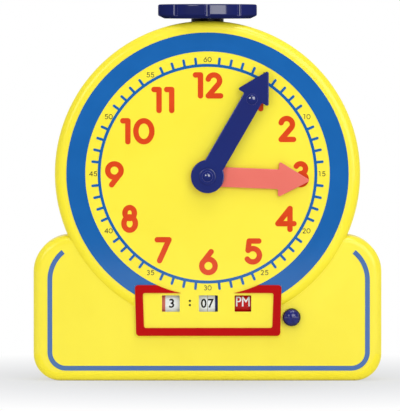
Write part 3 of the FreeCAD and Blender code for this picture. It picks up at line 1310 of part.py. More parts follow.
def frame_screw_places():
    """Screws of the two bearing plates."""
    middle = (LAY_Z + TRANSFER_Z) / 2.0
    columns = (LEFT_PLATE_X - FRAME_SCREW_OUT, RIGHT_PLATE_X + BEARING_PLATE + FRAME_SCREW_OUT - OVERCUT)
    return [(x, middle + rise) for x in columns for rise in (-FRAME_SCREW_RISE, FRAME_SCREW_RISE)]


def frame_screws():
    """Four screws that hold the bearing plates."""
    seat = BEARING_BACK - BEARING_PLATE
    return Part.makeCompound([
        round_screw(x, z, seat, BACK_INSIDE, -1.0) for x, z in frame_screw_places()])


# ======================= shutter and push button =======================
def drum_sector(r_in, r_out, low, high, x0, x1):
    """Piece of a ring round the drum axle; angles are degrees above the front."""
    def at(radius, degrees):
        angle = math.radians(degrees)
        return Vec(x0, DRUM_Y - radius * math.cos(angle), DRUM_Z + radius * math.sin(angle))
    middle = (low + high) / 2.0
    edges = [
        Part.Arc(at(r_out, low), at(r_out, middle), at(r_out, high)).toShape(),
        Part.LineSegment(at(r_out, high), at(r_in, high)).toShape(),
        Part.Arc(at(r_in, high), at(r_in, middle), at(r_in, low)).toShape(),
        Part.LineSegment(at(r_in, low), at(r_out, low)).toShape()]
    return Part.Face(Part.Wire(edges)).extrude(Vec(x1 - x0, 0, 0))


def shutter():
    """Three curved blades on two arms; it swings down over the windows."""
    low = SHUTTER_SWING - SHUTTER_COVER / 2.0
    high = low + SHUTTER_COVER
    outer = SHUTTER_R + SHUTTER_THICK
    left = LEFT_PLATE_X + BEARING_PLATE + SIDE_PLAY
    right = AXLE_PINION_X + GEAR_WIDTH + SIDE_PLAY
    parts = [drum_sector(SHUTTER_R, outer, low, low + SHUTTER_RAIL, left, right + SHUTTER_ARM)]
    for middle, width in (HOUR_WINDOW, MINUTE_WINDOW, AMPM_WINDOW):
        reach = width / 2.0 + SHUTTER_OVERLAP
        parts.append(drum_sector(SHUTTER_R, outer, low, high, middle - reach, middle + reach))
    for x in (left, right):
        parts.append(drum_sector(SHUTTER_ARM_ROOT, outer, low, low + SHUTTER_COVER / 2.0, x, x + SHUTTER_ARM))
        parts.append(rod_on_axle(SHUTTER_HUB_R, x, x + SHUTTER_ARM))
    parts.append(rod_on_axle(SHUTTER_HUB_R, right, crank_x() + CRANK_THICK))
    return bored(parts, AXLE_R + RUNNING, left, crank_x() + CRANK_THICK)


def crank_pin_place():
    """Where the crank's pin is at rest, below and a little ahead of the axle."""
    return DRUM_Y - CRANK_ARM * math.sin(PRESS_ANGLE), DRUM_Z - CRANK_ARM * math.cos(PRESS_ANGLE)


def shutter_crank():
    """Crank on the shutter's hub, with the pin that the push button's fork moves."""
    x0 = crank_x()
    y, z = crank_pin_place()
    ring = rod_on_axle(SHUTTER_HUB_R + CRANK_EYE, x0, x0 + CRANK_THICK)
    foot = rod_x(y, z, CRANK_PIN_R + CRANK_FOOT, x0, x0 + CRANK_THICK)
    pin = rod_x(y, z, CRANK_PIN_R, x0, FORK_X + FORK_WIDTH + SIDE_PLAY)
    bore = rod_on_axle(SHUTTER_HUB_R, x0 - OVERCUT, x0 + CRANK_THICK + OVERCUT)
    return ring.fuse([foot, pin]).cut(bore).removeSplitter()


def push_button():
    """Domed button with a spring pocket, a stop flange and a fork for the crank's pin."""
    top = BASE_FACE - BUTTON_PROUD
    shoulder = top + BUTTON_DOME
    stop = BASE_FACE + BUTTON_GUIDE + SIDE_PLAY
    back = stop + BUTTON_FLANGE_THICK
    stem = rod_y(BUTTON_X, BUTTON_Z, BUTTON_R, shoulder, back)
    dome = dome_y(BUTTON_X, BUTTON_Z, BUTTON_R, shoulder, BUTTON_DOME)
    flange = rod_y(BUTTON_X, BUTTON_Z, BUTTON_R + BUTTON_FLANGE, stop, back)
    pin_y, pin_z = crank_pin_place()
    slot_half = CRANK_PIN_R + FORK_PLAY
    fork_low = pin_z - slot_half
    fork_high = pin_z + slot_half + FORK_WALL + FORK_ROOM
    bar = block(FORK_X, BUTTON_X, stop, back, fork_low, fork_high)
    fork = block(FORK_X, FORK_X + FORK_WIDTH, stop, pin_y + slot_half + FORK_WALL, fork_low, fork_high)
    slot = block(
        FORK_X - OVERCUT, FORK_X + FORK_WIDTH + OVERCUT, pin_y - slot_half, pin_y + slot_half,
        fork_low - OVERCUT, pin_z + slot_half + FORK_ROOM)
    pocket = rod_y(BUTTON_X, BUTTON_Z, BUTTON_R - BUTTON_WALL, back - BUTTON_POCKET, back + OVERCUT)
    return stem.fuse([dome, flange, bar, fork]).cut([slot, pocket]).removeSplitter()


def wire_section(centre, radius):
    """Round section of a coiled wire, in two halves so that its surface closes."""
    right, left = Vec(centre + radius, 0, 0), Vec(centre - radius, 0, 0)
    upper = Part.Arc(right, Vec(centre, 0, radius), left).toShape()
    lower = Part.Arc(left, Vec(centre, 0, -radius), right).toShape()
    return Part.Wire([upper, lower])


def button_spring():
    """Coil spring between the button's pocket and the seat on the rear shell."""
    stop = BASE_FACE + BUTTON_GUIDE + SIDE_PLAY
    start = stop + BUTTON_FLANGE_THICK - BUTTON_POCKET + SPRING_WIRE_R
    length = SPRING_POST_FRONT - SPRING_WIRE_R - start
    helix = Part.makeHelix(length / SPRING_TURNS, length, SPRING_R)
    coil = Part.Wire(helix).makePipeShell([wire_section(SPRING_R, SPRING_WIRE_R)], True, True)
    return placed(coil, Vec(BUTTON_X, start, BUTTON_Z), Vec(0, 0, 1), Vec(1, 0, 0), Vec(0, 1, 0))


# ======================= all pieces =======================
def build():
    """Every sub-part by name."""
    cannon_pinion, minute_wheel, hour_wheel = hand_gears()
    gears = display_gears()
    return {
        "front_shell": front_shell(),
        "rear_shell": rear_shell(),
        "case_screws": case_screws(),
        "dial_band": dial_band(),
        "minute_track": minute_track(),
        "hour_numerals": hour_numerals(),
        "minute_numerals": minute_numerals(),
        "border_stripe": border_stripe(),
        "colon_dots": colon_dots(),
        "display_bezel": display_bezel(),
        "knob": knob(),
        "knob_bush": knob_bush(),
        "knob_screw": knob_screw(),
        "drive_shaft": drive_shaft(),
        "upper_bevel_wheel": upper_bevel_wheel(),
        "lower_bevel_wheel": lower_bevel_wheel(),
        "movement_plate": movement_plate(),
        "plate_screws": plate_screws(),
        "wheel_stud": wheel_stud(),
        "minute_arbor": minute_arbor(),
        "arbor_bevel": arbor_bevel(),
        "cannon_pinion": cannon_pinion,
        "minute_hand": minute_hand(),
        "hub_cap": hub_cap(),
        "minute_wheel": minute_wheel,
        "hour_wheel": hour_wheel,
        "hour_hand": hour_hand(),
        "lay_shaft": lay_shaft(),
        "lay_shaft_clips": lay_shaft_clips(),
        "bevel_pinion": bevel_pinion(),
        "tens_drive_gear": tens_drive_gear(gears),
        "units_drive_gear": units_drive_gear(gears),
        "drum_axle": drum_axle(),
        "drum_axle_clips": drum_axle_clips(),
        "hour_drum": hour_drum(gears),
        "tens_drum": tens_drum(gears),
        "units_drum": units_drum(gears),
        "ampm_drum": ampm_drum(gears),
        "hour_label": drum_label(HOUR_LABEL_START, HOUR_DRUM_X[1] - LABEL_MARGIN),
        "tens_label": drum_label(TENS_DRUM_X[0], TENS_DRUM_X[1]),
        "units_label": drum_label(UNITS_DRUM_X[0], UNITS_LABEL_END),
        "ampm_label": drum_label(AMPM_DRUM_X[0], AMPM_DRUM_X[1]),
        "axle_pinion": axle_pinion(gears),
        "hour_transfer": hour_transfer(gears),
        "ampm_transfer": ampm_transfer(gears),
        "transfer_axle": transfer_axle(),
        "transfer_spacer": transfer_spacer(),
        "left_bearing_plate": bearing_plate(LEFT_PLATE_X, -1.0, AXLE_R + RUNNING),
        "right_bearing_plate": bearing_plate(RIGHT_PLATE_X, 1.0, SHUTTER_HUB_R + RUNNING),
        "frame_screws": frame_screws(),
        "shutter": shutter(),
        "shutter_crank": shutter_crank(),
        "push_button": push_button(),
        "button_spring": button_spring(),
    }


os.makedirs("parts", exist_ok=True)
for node, shape in build().items():
    shape.exportStep("parts/" + node + ".step")
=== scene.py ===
"""Finishes, printed characters, two small pieces, studio and camera for a geared teaching clock.

Lengths are in metres unless a name ends in _mm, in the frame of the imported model:
X to the right, Y to the back, Z up, with the base standing on Z = 0.
"""

import logging
import math
from dataclasses import dataclass, field
from enum import StrEnum, auto
from typing import Any, Mapping, Sequence

import bmesh
import bpy
from mathutils import Matrix, Vector


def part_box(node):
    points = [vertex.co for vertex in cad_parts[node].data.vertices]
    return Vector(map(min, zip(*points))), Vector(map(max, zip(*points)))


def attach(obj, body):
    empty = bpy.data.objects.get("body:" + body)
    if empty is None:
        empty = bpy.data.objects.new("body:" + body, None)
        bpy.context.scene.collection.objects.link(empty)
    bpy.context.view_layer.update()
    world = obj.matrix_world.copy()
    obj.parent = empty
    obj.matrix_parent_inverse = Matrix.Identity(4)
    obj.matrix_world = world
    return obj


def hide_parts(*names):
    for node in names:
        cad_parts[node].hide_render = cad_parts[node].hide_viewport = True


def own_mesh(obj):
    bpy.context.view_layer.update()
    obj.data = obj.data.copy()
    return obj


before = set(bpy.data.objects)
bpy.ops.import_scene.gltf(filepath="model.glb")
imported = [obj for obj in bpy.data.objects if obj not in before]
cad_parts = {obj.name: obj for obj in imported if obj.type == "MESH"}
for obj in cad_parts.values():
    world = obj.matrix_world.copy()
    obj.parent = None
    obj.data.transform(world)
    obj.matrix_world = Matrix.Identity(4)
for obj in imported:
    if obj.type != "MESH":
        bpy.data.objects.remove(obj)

LOG = logging.getLogger("teaching_clock")
MM = 0.001
UNIT = (0.0, 1.0)
WHITE = (1.0, 1.0, 1.0, 1.0)
NODE_STEP = 190  # between two nodes in the drawing of a tree

SRGB_KNEE = 0.04045
SRGB_SLOPE = 12.92
SRGB_LIFT = 0.055
SRGB_POWER = 2.4

# Each range runs from where a mask starts to where it is full.
NOISE_MIDDLE = (0.35, 0.65)  # of a noise
BREAK_NOISE = (0.3, 0.6)  # of a noise along an edge's rubbed wear and painted highlight
SPECK_NOISE = (0.45, 0.75)  # of a noise in settled dust
EDGE_TURN = (0.995, 0.86)  # of the cosine between the plain normal and the softened one
DUST_UPWARD = (0.75, 1.0)  # of the normal's Z, where dust settles
COAT_UPWARD = (-0.03, -0.005)  # of the normal's Z, where lacquer mirrors
FACE_SQUARE = (0.985, 0.998)  # of the normal's Y, where a face is square to Y

BREAK_SHARE = (0.35, 1.0)  # how much of an edge's rubbed wear and painted highlight shows, at least and at most
LINE_STRETCH = (0.04, 1.0, 1.0)  # draws a noise out along X
OFF_AXIS = (1.0, 0.0, 1.0)  # drops the part of a vector along Y
FACING_BLEND = 0.5
LACQUER_REACH = (0.18, 0.45)
FINE_GRAIN = 0.000004
DUST_TONE = (205, 200, 190)

Rgb = tuple[int, int, int]
Point = tuple[float, float, float]
Socket = bpy.types.NodeSocket
Outputs = bpy.types.NodeOutputs


def linear(colour: Rgb, dim: float = 1.0) -> tuple[float, ...]:
    """Turns display values into the linear colour that a shader socket takes.

    Args:
        colour: Red, green and blue from 0 to 255.
        dim: A factor on the light that the colour gives back.

    Returns:
        Red, green and blue in linear light, and a full alpha.
    """
    parts = []
    for value in colour:
        share = value / 255.0
        if share <= SRGB_KNEE:
            light = share / SRGB_SLOPE
        else:
            light = ((share + SRGB_LIFT) / (1.0 + SRGB_LIFT)) ** SRGB_POWER
        parts.append(dim * light)
    return (*parts, 1.0)


class Slot(StrEnum):
    """Finishes, whose values are their names in lower case."""

    CASE_YELLOW = auto()
    SCREW_STEEL = auto()
    SHAFT_STEEL = auto()
    BAND_BLUE = auto()
    STRIPE_BLUE = auto()
    NUMERAL_ORANGE = auto()
    NUMERAL_GREY = auto()
    INK_BLACK = auto()
    BEZEL_RED = auto()
    BUSH_BLACK = auto()
    FRAME_BLACK = auto()
    GEAR_WHITE = auto()
    KNOB_NAVY = auto()
    HAND_NAVY = auto()
    BUTTON_NAVY = auto()
    HAND_SALMON = auto()
    DRUM_SALMON = auto()
    DRUM_NAVY = auto()
    DRUM_RED = auto()
    LABEL_WHITE = auto()
    LABEL_RED = auto()
    SHUTTER_YELLOW = auto()


class Graph:
    """Adds nodes to one node tree and links them."""

    def __init__(self, tree: bpy.types.NodeTree) -> None:
        """Empties the tree.

        Args:
            tree: The node tree of a material, a world or a group.
        """
        self.tree = tree
        self.tree.nodes.clear()
        self.column = 0

    def add(self, kind: str, inputs: Mapping[Any, Any] | None = None, **settings: Any) -> bpy.types.Node:
        """Adds a node with its settings and inputs.

        Args:
            kind: The node's type name.
            inputs: Sockets by name or number, each with a value or a socket to link.
            **settings: Properties of the node.

        Returns:
            The new node.
        """
        node = self.tree.nodes.new(kind)
        node.location = (self.column * NODE_STEP, 0)
        self.column += 1
        for name, value in settings.items():
            setattr(node, name, value)
        for key, value in (inputs or {}).items():
            if isinstance(value, Socket):
                self.tree.links.new(value, node.inputs[key])
            else:
                node.inputs[key].default_value = value
        return node

    def math(self, operation: str, first: Any, second: Any = 0.0) -> Socket:
        """Adds one sum of two values.

        Args:
            operation: The Math node's operation.
            first: A socket or a number.
            second: A socket or a number.

        Returns:
            The result's socket.
        """
        return self.add("ShaderNodeMath", {0: first, 1: second}, operation=operation).outputs[0]

    def times(self, first: Any, second: Any) -> Socket:
        """Adds the product of two values."""
        return self.math("MULTIPLY", first, second)

    def remap(self, value: Any, source: tuple[float, float], target: tuple[Any, Any]) -> Socket:
        """Maps one range onto another, clamped.

        Args:
            value: The socket to map.
            source: The range that comes in.
            target: The range that goes out, as numbers or sockets.

        Returns:
            The result's socket.
        """
        inputs = {"Value": value}
        inputs["From Min"], inputs["From Max"] = source
        inputs["To Min"], inputs["To Max"] = target
        return self.add("ShaderNodeMapRange", inputs).outputs["Result"]

    def blend(self, share: Any, first: Any, second: Any) -> Socket:
        """Mixes two colours.

        Args:
            share: How much of the second colour shows.
            first: A colour or a socket.
            second: A colour or a socket.

        Returns:
            The mixed colour's socket.
        """
        return self.add("ShaderNodeMix", {0: share, 6: first, 7: second}, data_type="RGBA").outputs[2]

    def place(self) -> Socket:
        """Adds the place in the object's own space."""
        return self.add("ShaderNodeTexCoord").outputs["Object"]

    def normal(self) -> Socket:
        """Adds the surface's own normal."""
        return self.add("ShaderNodeNewGeometry").outputs["Normal"]

    def vector(self, operation: str, *values: Any) -> bpy.types.Node:
        """Adds one sum of one or two vectors."""
        return self.add("ShaderNodeVectorMath", dict(enumerate(values)), operation=operation)

    def split(self, vector: Socket) -> Outputs:
        """Adds a node that splits a vector, and gives its outputs X, Y and Z."""
        return self.add("ShaderNodeSeparateXYZ", {0: vector}).outputs

    def noise(self, place: Socket, scale: Any, detail: float, distortion: float = 0.0) -> Socket:
        """Adds a noise texture.

        Args:
            place: The socket of the place.
            scale: A socket or a number.
            detail: How many finer layers it has.
            distortion: How far it is stirred.

        Returns:
            The noise's socket, from 0 to 1.
        """
        inputs = {"Vector": place, "Scale": scale, "Detail": detail, "Distortion": distortion}
        return self.add("ShaderNodeTexNoise", inputs).outputs[0]

    def bump(
        self, height: Any, depth: float, strength: float, under: Any = None, sunk: bool = False
    ) -> Socket:
        """Adds relief to the normal.

        Args:
            height: The socket of the height.
            depth: The relief's depth, in metres, at a height of 1.
            strength: How strongly it shows.
            under: The normal that it is added to, if it isn't the surface's own.
            sunk: Whether it goes inwards.

        Returns:
            The normal's socket.
        """
        inputs = {"Strength": strength, "Distance": depth, "Height": height}
        if under is not None:
            inputs["Normal"] = under
        return self.add("ShaderNodeBump", inputs, invert=sunk).outputs[0]

    def lacquer(
        self, weight: float, reach: tuple[float, float] = LACQUER_REACH, flat_share: float = 1.0
    ) -> Socket:
        """Makes a coat that fades out towards grazing sight and on faces that look down.

        Args:
            weight: The coat's weight where the surface faces the eye.
            reach: The facing values between which it fades out.
            flat_share: The share of it on faces square to Y, against the rounded ones.

        Returns:
            The socket for Coat Weight.
        """
        facing = self.add("ShaderNodeLayerWeight", {"Blend": FACING_BLEND}).outputs["Facing"]
        parts = self.split(self.normal())
        held = self.remap(parts["Z"], COAT_UPWARD, (0.0, weight))
        square = self.remap(self.math("ABSOLUTE", parts["Y"]), FACE_SQUARE, (1.0, flat_share))
        near = self.remap(facing, reach, (1.0, 0.0))
        return self.times(self.times(held, square), near)

    def group(self, tree: bpy.types.NodeTree, inputs: Mapping[str, float] | None = None) -> Outputs:
        """Places an effect group, and gives its outputs."""
        return self.add("ShaderNodeGroup", inputs, node_tree=tree).outputs

    def mix(self, share: Any, first: bpy.types.Node, second: bpy.types.Node) -> bpy.types.Node:
        """Adds a mix of two shaders."""
        return self.add("ShaderNodeMixShader", {0: share, 1: first.outputs[0], 2: second.outputs[0]})

    def end(self, shader: bpy.types.Node, kind: str = "ShaderNodeOutputMaterial") -> None:
        """Ends the tree in a shader."""
        self.add(kind, {"Surface": shader.outputs[0]})

    def end_principled(self, inputs: Mapping[str, Any]) -> None:
        """Ends the tree in a Principled shader with these inputs."""
        self.end(self.add("ShaderNodeBsdfPrincipled", inputs))


def new_material(name: str) -> tuple[bpy.types.Material, Graph]:
    """Starts a material with an empty node tree.

    Args:
        name: The material's name.

    Returns:
        The material and the graph of its tree.
    """
    material = bpy.data.materials.new(name)
    material.use_nodes = True
    return material, Graph(material.node_tree)


def new_object(name: str, data: bpy.types.ID) -> bpy.types.Object:
    """Puts new data into the scene.

    Args:
        name: The object's name.
        data: Its mesh, curve, light or camera.

    Returns:
        The new object.
    """
    thing = bpy.data.objects.new(name, data)
    bpy.context.scene.collection.objects.link(thing)
    return thing


def new_piece(name: str, solid: bmesh.types.BMesh, body: str) -> bpy.types.Object:
    """Makes a finished solid a piece that rides on a body.

    Args:
        name: The piece's name.
        solid: Its shape in metres, which is freed.
        body: The body that carries it.

    Returns:
        The new piece.
    """
    bmesh.ops.recalc_face_normals(solid, faces=solid.faces)
    mesh = bpy.data.meshes.new(name)
    solid.to_mesh(mesh)
    solid.free()
    piece = new_object(name, mesh)
    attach(piece, body)
    return piece


class EffectGroup(Graph):
    """A shader effect with named inputs and outputs, built once and placed in several finishes."""

    def __init__(self, name: str, inputs: Mapping[str, float], outputs: Sequence[str]) -> None:
        """Makes the group's sockets.

        Args:
            name: The group's name.
            inputs: Number inputs and their defaults.
            outputs: Names of the number outputs.
        """
        super().__init__(bpy.data.node_groups.new(name, "ShaderNodeTree"))
        for label, default in inputs.items():
            self.new_socket(label, "INPUT").default_value = default
        for label in outputs:
            self.new_socket(label, "OUTPUT")
        self.inputs = self.add("NodeGroupInput").outputs

    def new_socket(self, label: str, side: str) -> bpy.types.NodeTreeInterfaceSocket:
        """Adds one number socket to the group's INPUT or OUTPUT side."""
        return self.tree.interface.new_socket(name=label, in_out=side, socket_type="NodeSocketFloat")

    def uneven_roughness(self, noise: Socket, gain: float = 1.0) -> Socket:
        """Swings the group's Roughness by its Spread.

        Args:
            noise: The noise that it follows.
            gain: A factor on the spread.

        Returns:
            The roughness, which varies over the surface.
        """
        swing = self.times(self.math("SUBTRACT", noise, 0.5), self.inputs["Spread"])
        if gain != 1.0:
            swing = self.times(swing, gain)
        return self.math("ADD", self.inputs["Roughness"], swing)

    def finish(self, results: Mapping[str, Socket]) -> bpy.types.NodeTree:
        """Links the results to the group's outputs.

        Args:
            results: A socket for each output.

        Returns:
            The finished group.
        """
        self.add("NodeGroupOutput", dict(results))
        return self.tree


class Effects:
    """The effects that the finishes share."""

    def __init__(self) -> None:
        """Builds every group once."""
        self.moulded = self.moulded_surface()
        self.edges = self.edge_wear_and_highlight_mask()
        self.ink = self.printed_ink()
        self.metal = self.drawn_metal()
        self.dust = self.settled_dust()

    @staticmethod
    def moulded_surface() -> bpy.types.NodeTree:
        """Flow marks, a fine orange-peel grain and an uneven gloss, as injection moulding leaves them.

        Returns:
            The group.
        """
        inputs = {"Flow Scale": 14.0, "Grain Scale": 900.0, "Roughness": 0.3, "Spread": 0.05}
        group = EffectGroup("moulded_surface", inputs, ("Flow", "Roughness", "Height"))
        place = group.place()
        flow = group.noise(place, group.inputs["Flow Scale"], detail=3.0, distortion=0.6)
        grain = group.noise(place, group.inputs["Grain Scale"], detail=2.0)
        blotch = group.noise(place, scale=55.0, detail=4.0)
        results = {
            "Flow": group.remap(flow, NOISE_MIDDLE, UNIT),
            "Roughness": group.uneven_roughness(blotch, gain=2.0),
            "Height": grain,
        }
        return group.finish(results)

    @staticmethod
    def edge_wear_and_highlight_mask() -> bpy.types.NodeTree:
        """A mask of the edges, broken up along their length, that stands for rubbed wear and for a painted
        highlight along them.

        Returns:
            The group.
        """
        group = EffectGroup("edge_wear_and_highlight_mask", {"Radius": 0.0008, "Break Scale": 120.0}, ("Edge",))
        softened = group.add("ShaderNodeBevel", {"Radius": group.inputs["Radius"]}, samples=6).outputs[0]
        cosine = group.vector("DOT_PRODUCT", softened, group.normal()).outputs["Value"]
        breaks = group.noise(group.place(), group.inputs["Break Scale"], detail=3.0)
        shown = group.remap(breaks, BREAK_NOISE, BREAK_SHARE)
        return group.finish({"Edge": group.times(group.remap(cosine, EDGE_TURN, UNIT), shown)})

    @staticmethod
    def printed_ink() -> bpy.types.NodeTree:
        """The slightly uneven density and the mesh marks of an ink film.

        Returns:
            The group.
        """
        inputs = {"Roughness": 0.12, "Spread": 0.04, "Mesh Scale": 2600.0}
        group = EffectGroup("printed_ink", inputs, ("Density", "Roughness", "Height"))
        place = group.place()
        cloud = group.noise(place, scale=38.0, detail=5.0)
        mesh = group.add("ShaderNodeTexVoronoi", {"Vector": place, "Scale": group.inputs["Mesh Scale"]})
        results = {
            "Density": group.remap(cloud, NOISE_MIDDLE, UNIT),
            "Roughness": group.uneven_roughness(cloud, gain=2.0),
            "Height": mesh.outputs["Distance"],
        }
        return group.finish(results)

    @staticmethod
    def drawn_metal() -> bpy.types.NodeTree:
        """Fine drawing lines along X, with a patchy lustre.

        Returns:
            The group.
        """
        inputs = {"Line Scale": 900.0, "Roughness": 0.3, "Spread": 0.12}
        group = EffectGroup("drawn_metal", inputs, ("Streak", "Roughness", "Height"))
        place = group.place()
        stretched = group.add("ShaderNodeMapping", {"Vector": place, "Scale": LINE_STRETCH}).outputs[0]
        lines = group.noise(stretched, group.inputs["Line Scale"], detail=2.0)
        patch = group.noise(place, scale=160.0, detail=3.0)
        results = {
            "Streak": group.remap(lines, NOISE_MIDDLE, UNIT),
            "Roughness": group.uneven_roughness(patch),
            "Height": lines,
        }
        return group.finish(results)

    @staticmethod
    def settled_dust() -> bpy.types.NodeTree:
        """A mask of the faces that look up, where a little dust settles.

        Returns:
            The group.
        """
        group = EffectGroup("settled_dust", {"Speck Scale": 420.0}, ("Dust",))
        upward = group.remap(group.split(group.normal())["Z"], DUST_UPWARD, UNIT)
        noise = group.noise(group.place(), group.inputs["Speck Scale"], detail=4.0)
        specks = group.remap(noise, SPECK_NOISE, UNIT)
        return group.finish({"Dust": group.times(upward, specks)})


@dataclass(frozen=True)
class Plastic:
    """An injection-moulded plastic, mottled between two colours, with a third on its edges as rubbed wear
    and as a painted highlight.

    Attributes:
        dust: The share of dust on faces that look up.
        gloss: The strength of the plastic's own highlight, under the lacquer.
        lacquer: The weight of the mirroring coat; it fades out as Graph.lacquer says.
        edge_share: How far an edge takes the third colour, which stands for rubbed wear and for a painted
            highlight.
        seam: Half the width of the parting line at Y = 0, or 0 for none.
        seam_dim: The light that the line gives back, against the plastic beside it.
    """

    colour: Rgb
    shade: Rgb
    edge_wear_and_highlight: Rgb
    roughness: float = 0.3
    spread: float = 0.05
    flow_scale: float = 14.0
    grain_scale: float = 900.0
    grain_depth: float = 0.00001
    edge_radius: float = 0.0008
    dust: float = 0.04
    gloss: float = 0.2
    lacquer: float = 1.0
    lacquer_reach: tuple[float, float] = LACQUER_REACH
    lacquer_flat: float = 1.0
    lacquer_ior: float = 1.5
    lacquer_roughness: float = 0.2
    edge_share: float = 0.5
    seam: float = 0.0
    seam_share: float = 0.6
    seam_dim: float = 0.3

    def make(self, name: str, effects: Effects) -> bpy.types.Material:
        """Builds the material.

        Args:
            name: The material's name.
            effects: The shared effect groups.

        Returns:
            The new material.
        """
        material, graph = new_material(name)
        moulding = {
            "Flow Scale": self.flow_scale,
            "Grain Scale": self.grain_scale,
            "Roughness": self.roughness,
            "Spread": self.spread,
        }
        body = graph.group(effects.moulded, moulding)
        edge = graph.group(effects.edges, {"Radius": self.edge_radius})["Edge"]
        dust = graph.group(effects.dust)["Dust"]
        colour = graph.blend(body["Flow"], linear(self.colour), linear(self.shade))
        # Edges take the third colour: partly rubbed wear, partly a painted highlight along the edges.
        colour = graph.blend(graph.times(edge, self.edge_share), colour, linear(self.edge_wear_and_highlight))
        colour = graph.blend(graph.times(dust, self.dust), colour, linear(DUST_TONE))
        normal = graph.bump(body["Height"], self.grain_depth, strength=0.5)
        if self.seam:
            depth = graph.math("ABSOLUTE", graph.split(graph.place())["Y"])
            line = graph.remap(depth, (self.seam, self.seam / 2.0), UNIT)
            shadow = linear(self.shade, dim=self.seam_dim)
            colour = graph.blend(graph.times(line, self.seam_share), colour, shadow)
            normal = graph.bump(line, self.seam, strength=0.8, under=normal, sunk=True)
        graph.end_principled(
            {
                "Base Color": colour,
                "Roughness": body["Roughness"],
                "Specular IOR Level": self.gloss,
                "Coat Weight": graph.lacquer(self.lacquer, self.lacquer_reach, self.lacquer_flat),
                "Coat Roughness": self.lacquer_roughness,
                "Coat IOR": self.lacquer_ior,
                "Normal": normal,
            }
        )
        return material


@dataclass(frozen=True)
class Pebbled:
    """A glossy plastic whose face is moulded in soft lumps.

    Attributes:
        centre: A point on the axis of the round face, which looks along Y.
        rim: The radii between which painted shade sets in, the shadow round the dome's foot where it sits
            in its guide.
    """

    colour: Rgb
    shade: Rgb
    roughness: float = 0.1
    spread: float = 0.04
    lump_scale: float = 330.0
    lump_smoothness: float = 0.7
    lump_depth: float = 0.0005
    gloss: float = 0.2
    lacquer: float = 1.0
    lacquer_ior: float = 1.7
    lacquer_roughness: float = 0.08
    centre: Point = (0.0739, 0.0, 0.0560)
    rim: tuple[float, float] = (0.0062, 0.0076)
    rim_shade_tone: Rgb = (22, 14, 22)
    rim_shade_share: float = 0.9

    def make(self, name: str, effects: Effects) -> bpy.types.Material:
        """Builds the material.

        Args:
            name: The material's name.
            effects: The shared effect groups.

        Returns:
            The new material.
        """
        material, graph = new_material(name)
        body = graph.group(effects.moulded, {"Roughness": self.roughness, "Spread": self.spread})
        place = graph.place()
        cells = {"Vector": place, "Scale": self.lump_scale, "Smoothness": self.lump_smoothness}
        lumps = graph.add("ShaderNodeTexVoronoi", cells, feature="SMOOTH_F1").outputs["Distance"]
        normal = graph.bump(lumps, self.lump_depth, strength=0.8, sunk=True)
        # Painted shade: the colour darkens in the sunk hollows between the lumps.
        hollow_shaded = graph.blend(lumps, linear(self.colour), linear(self.shade))
        offset = graph.vector("SUBTRACT", place, self.centre).outputs[0]
        across = graph.vector("MULTIPLY", offset, OFF_AXIS).outputs[0]
        radius = graph.vector("LENGTH", across).outputs["Value"]
        # Painted shade: the colour darkens towards the dome's foot, where it sits in its guide.
        rim_shade_mask = graph.remap(radius, self.rim, (0.0, self.rim_shade_share))
        graph.end_principled(
            {
                "Base Color": graph.blend(rim_shade_mask, hollow_shaded, linear(self.rim_shade_tone)),
                "Roughness": body["Roughness"],
                "Specular IOR Level": self.gloss,
                "Coat Weight": graph.lacquer(self.lacquer),
                "Coat Roughness": self.lacquer_roughness,
                "Coat IOR": self.lacquer_ior,
                "Coat Normal": normal,
                "Normal": normal,
            }
        )
        return material


@dataclass(frozen=True)
class Ink:
    """A printed film of ink or paint."""

    colour: Rgb
    thin: Rgb
    roughness: float = 0.12
    spread: float = 0.04
    film_depth: float = 0.000004
    gloss: float = 0.5

    def make(self, name: str, effects: Effects) -> bpy.types.Material:
        """Builds the material.

        Args:
            name: The material's name.
            effects: The shared effect groups.

        Returns:
            The new material.
        """
        material, graph = new_material(name)
        film = graph.group(effects.ink, {"Roughness": self.roughness, "Spread": self.spread})
        tone = graph.blend(film["Density"], linear(self.colour), linear(self.thin))
        graph.end_principled(
            {
                "Base Color": tone,
                "Roughness": film["Roughness"],
                "Specular IOR Level": self.gloss,
                "Normal": graph.bump(film["Height"], self.film_depth, strength=0.4),
            }
        )
        return material


@dataclass(frozen=True)
class Metal:
    """Drawn or plated steel."""

    colour: Rgb
    dull: Rgb
    roughness: float = 0.3
    spread: float = 0.12
    line_scale: float = 900.0
    line_depth: float = 0.00001
    edge_radius: float = 0.0003
    edge_share: float = 0.6
    edge_wear_and_highlight: Rgb = (225, 225, 228)

    def make(self, name: str, effects: Effects) -> bpy.types.Material:
        """Builds the material.

        Args:
            name: The material's name.
            effects: The shared effect groups.

        Returns:
            The new material.
        """
        material, graph = new_material(name)
        lustre = {"Line Scale": self.line_scale, "Roughness": self.roughness, "Spread": self.spread}
        skin = graph.group(effects.metal, lustre)
        edge = graph.group(effects.edges, {"Radius": self.edge_radius})["Edge"]
        tone = graph.blend(skin["Streak"], linear(self.colour), linear(self.dull))
        graph.end_principled(
            {
                "Base Color": graph.blend(graph.times(edge, self.edge_share), tone, linear(self.edge_wear_and_highlight)),
                "Metallic": 1.0,
                "Roughness": skin["Roughness"],
                "Normal": graph.bump(skin["Height"], self.line_depth, strength=0.3),
            }
        )
        return material


Finish = Plastic | Pebbled | Ink | Metal

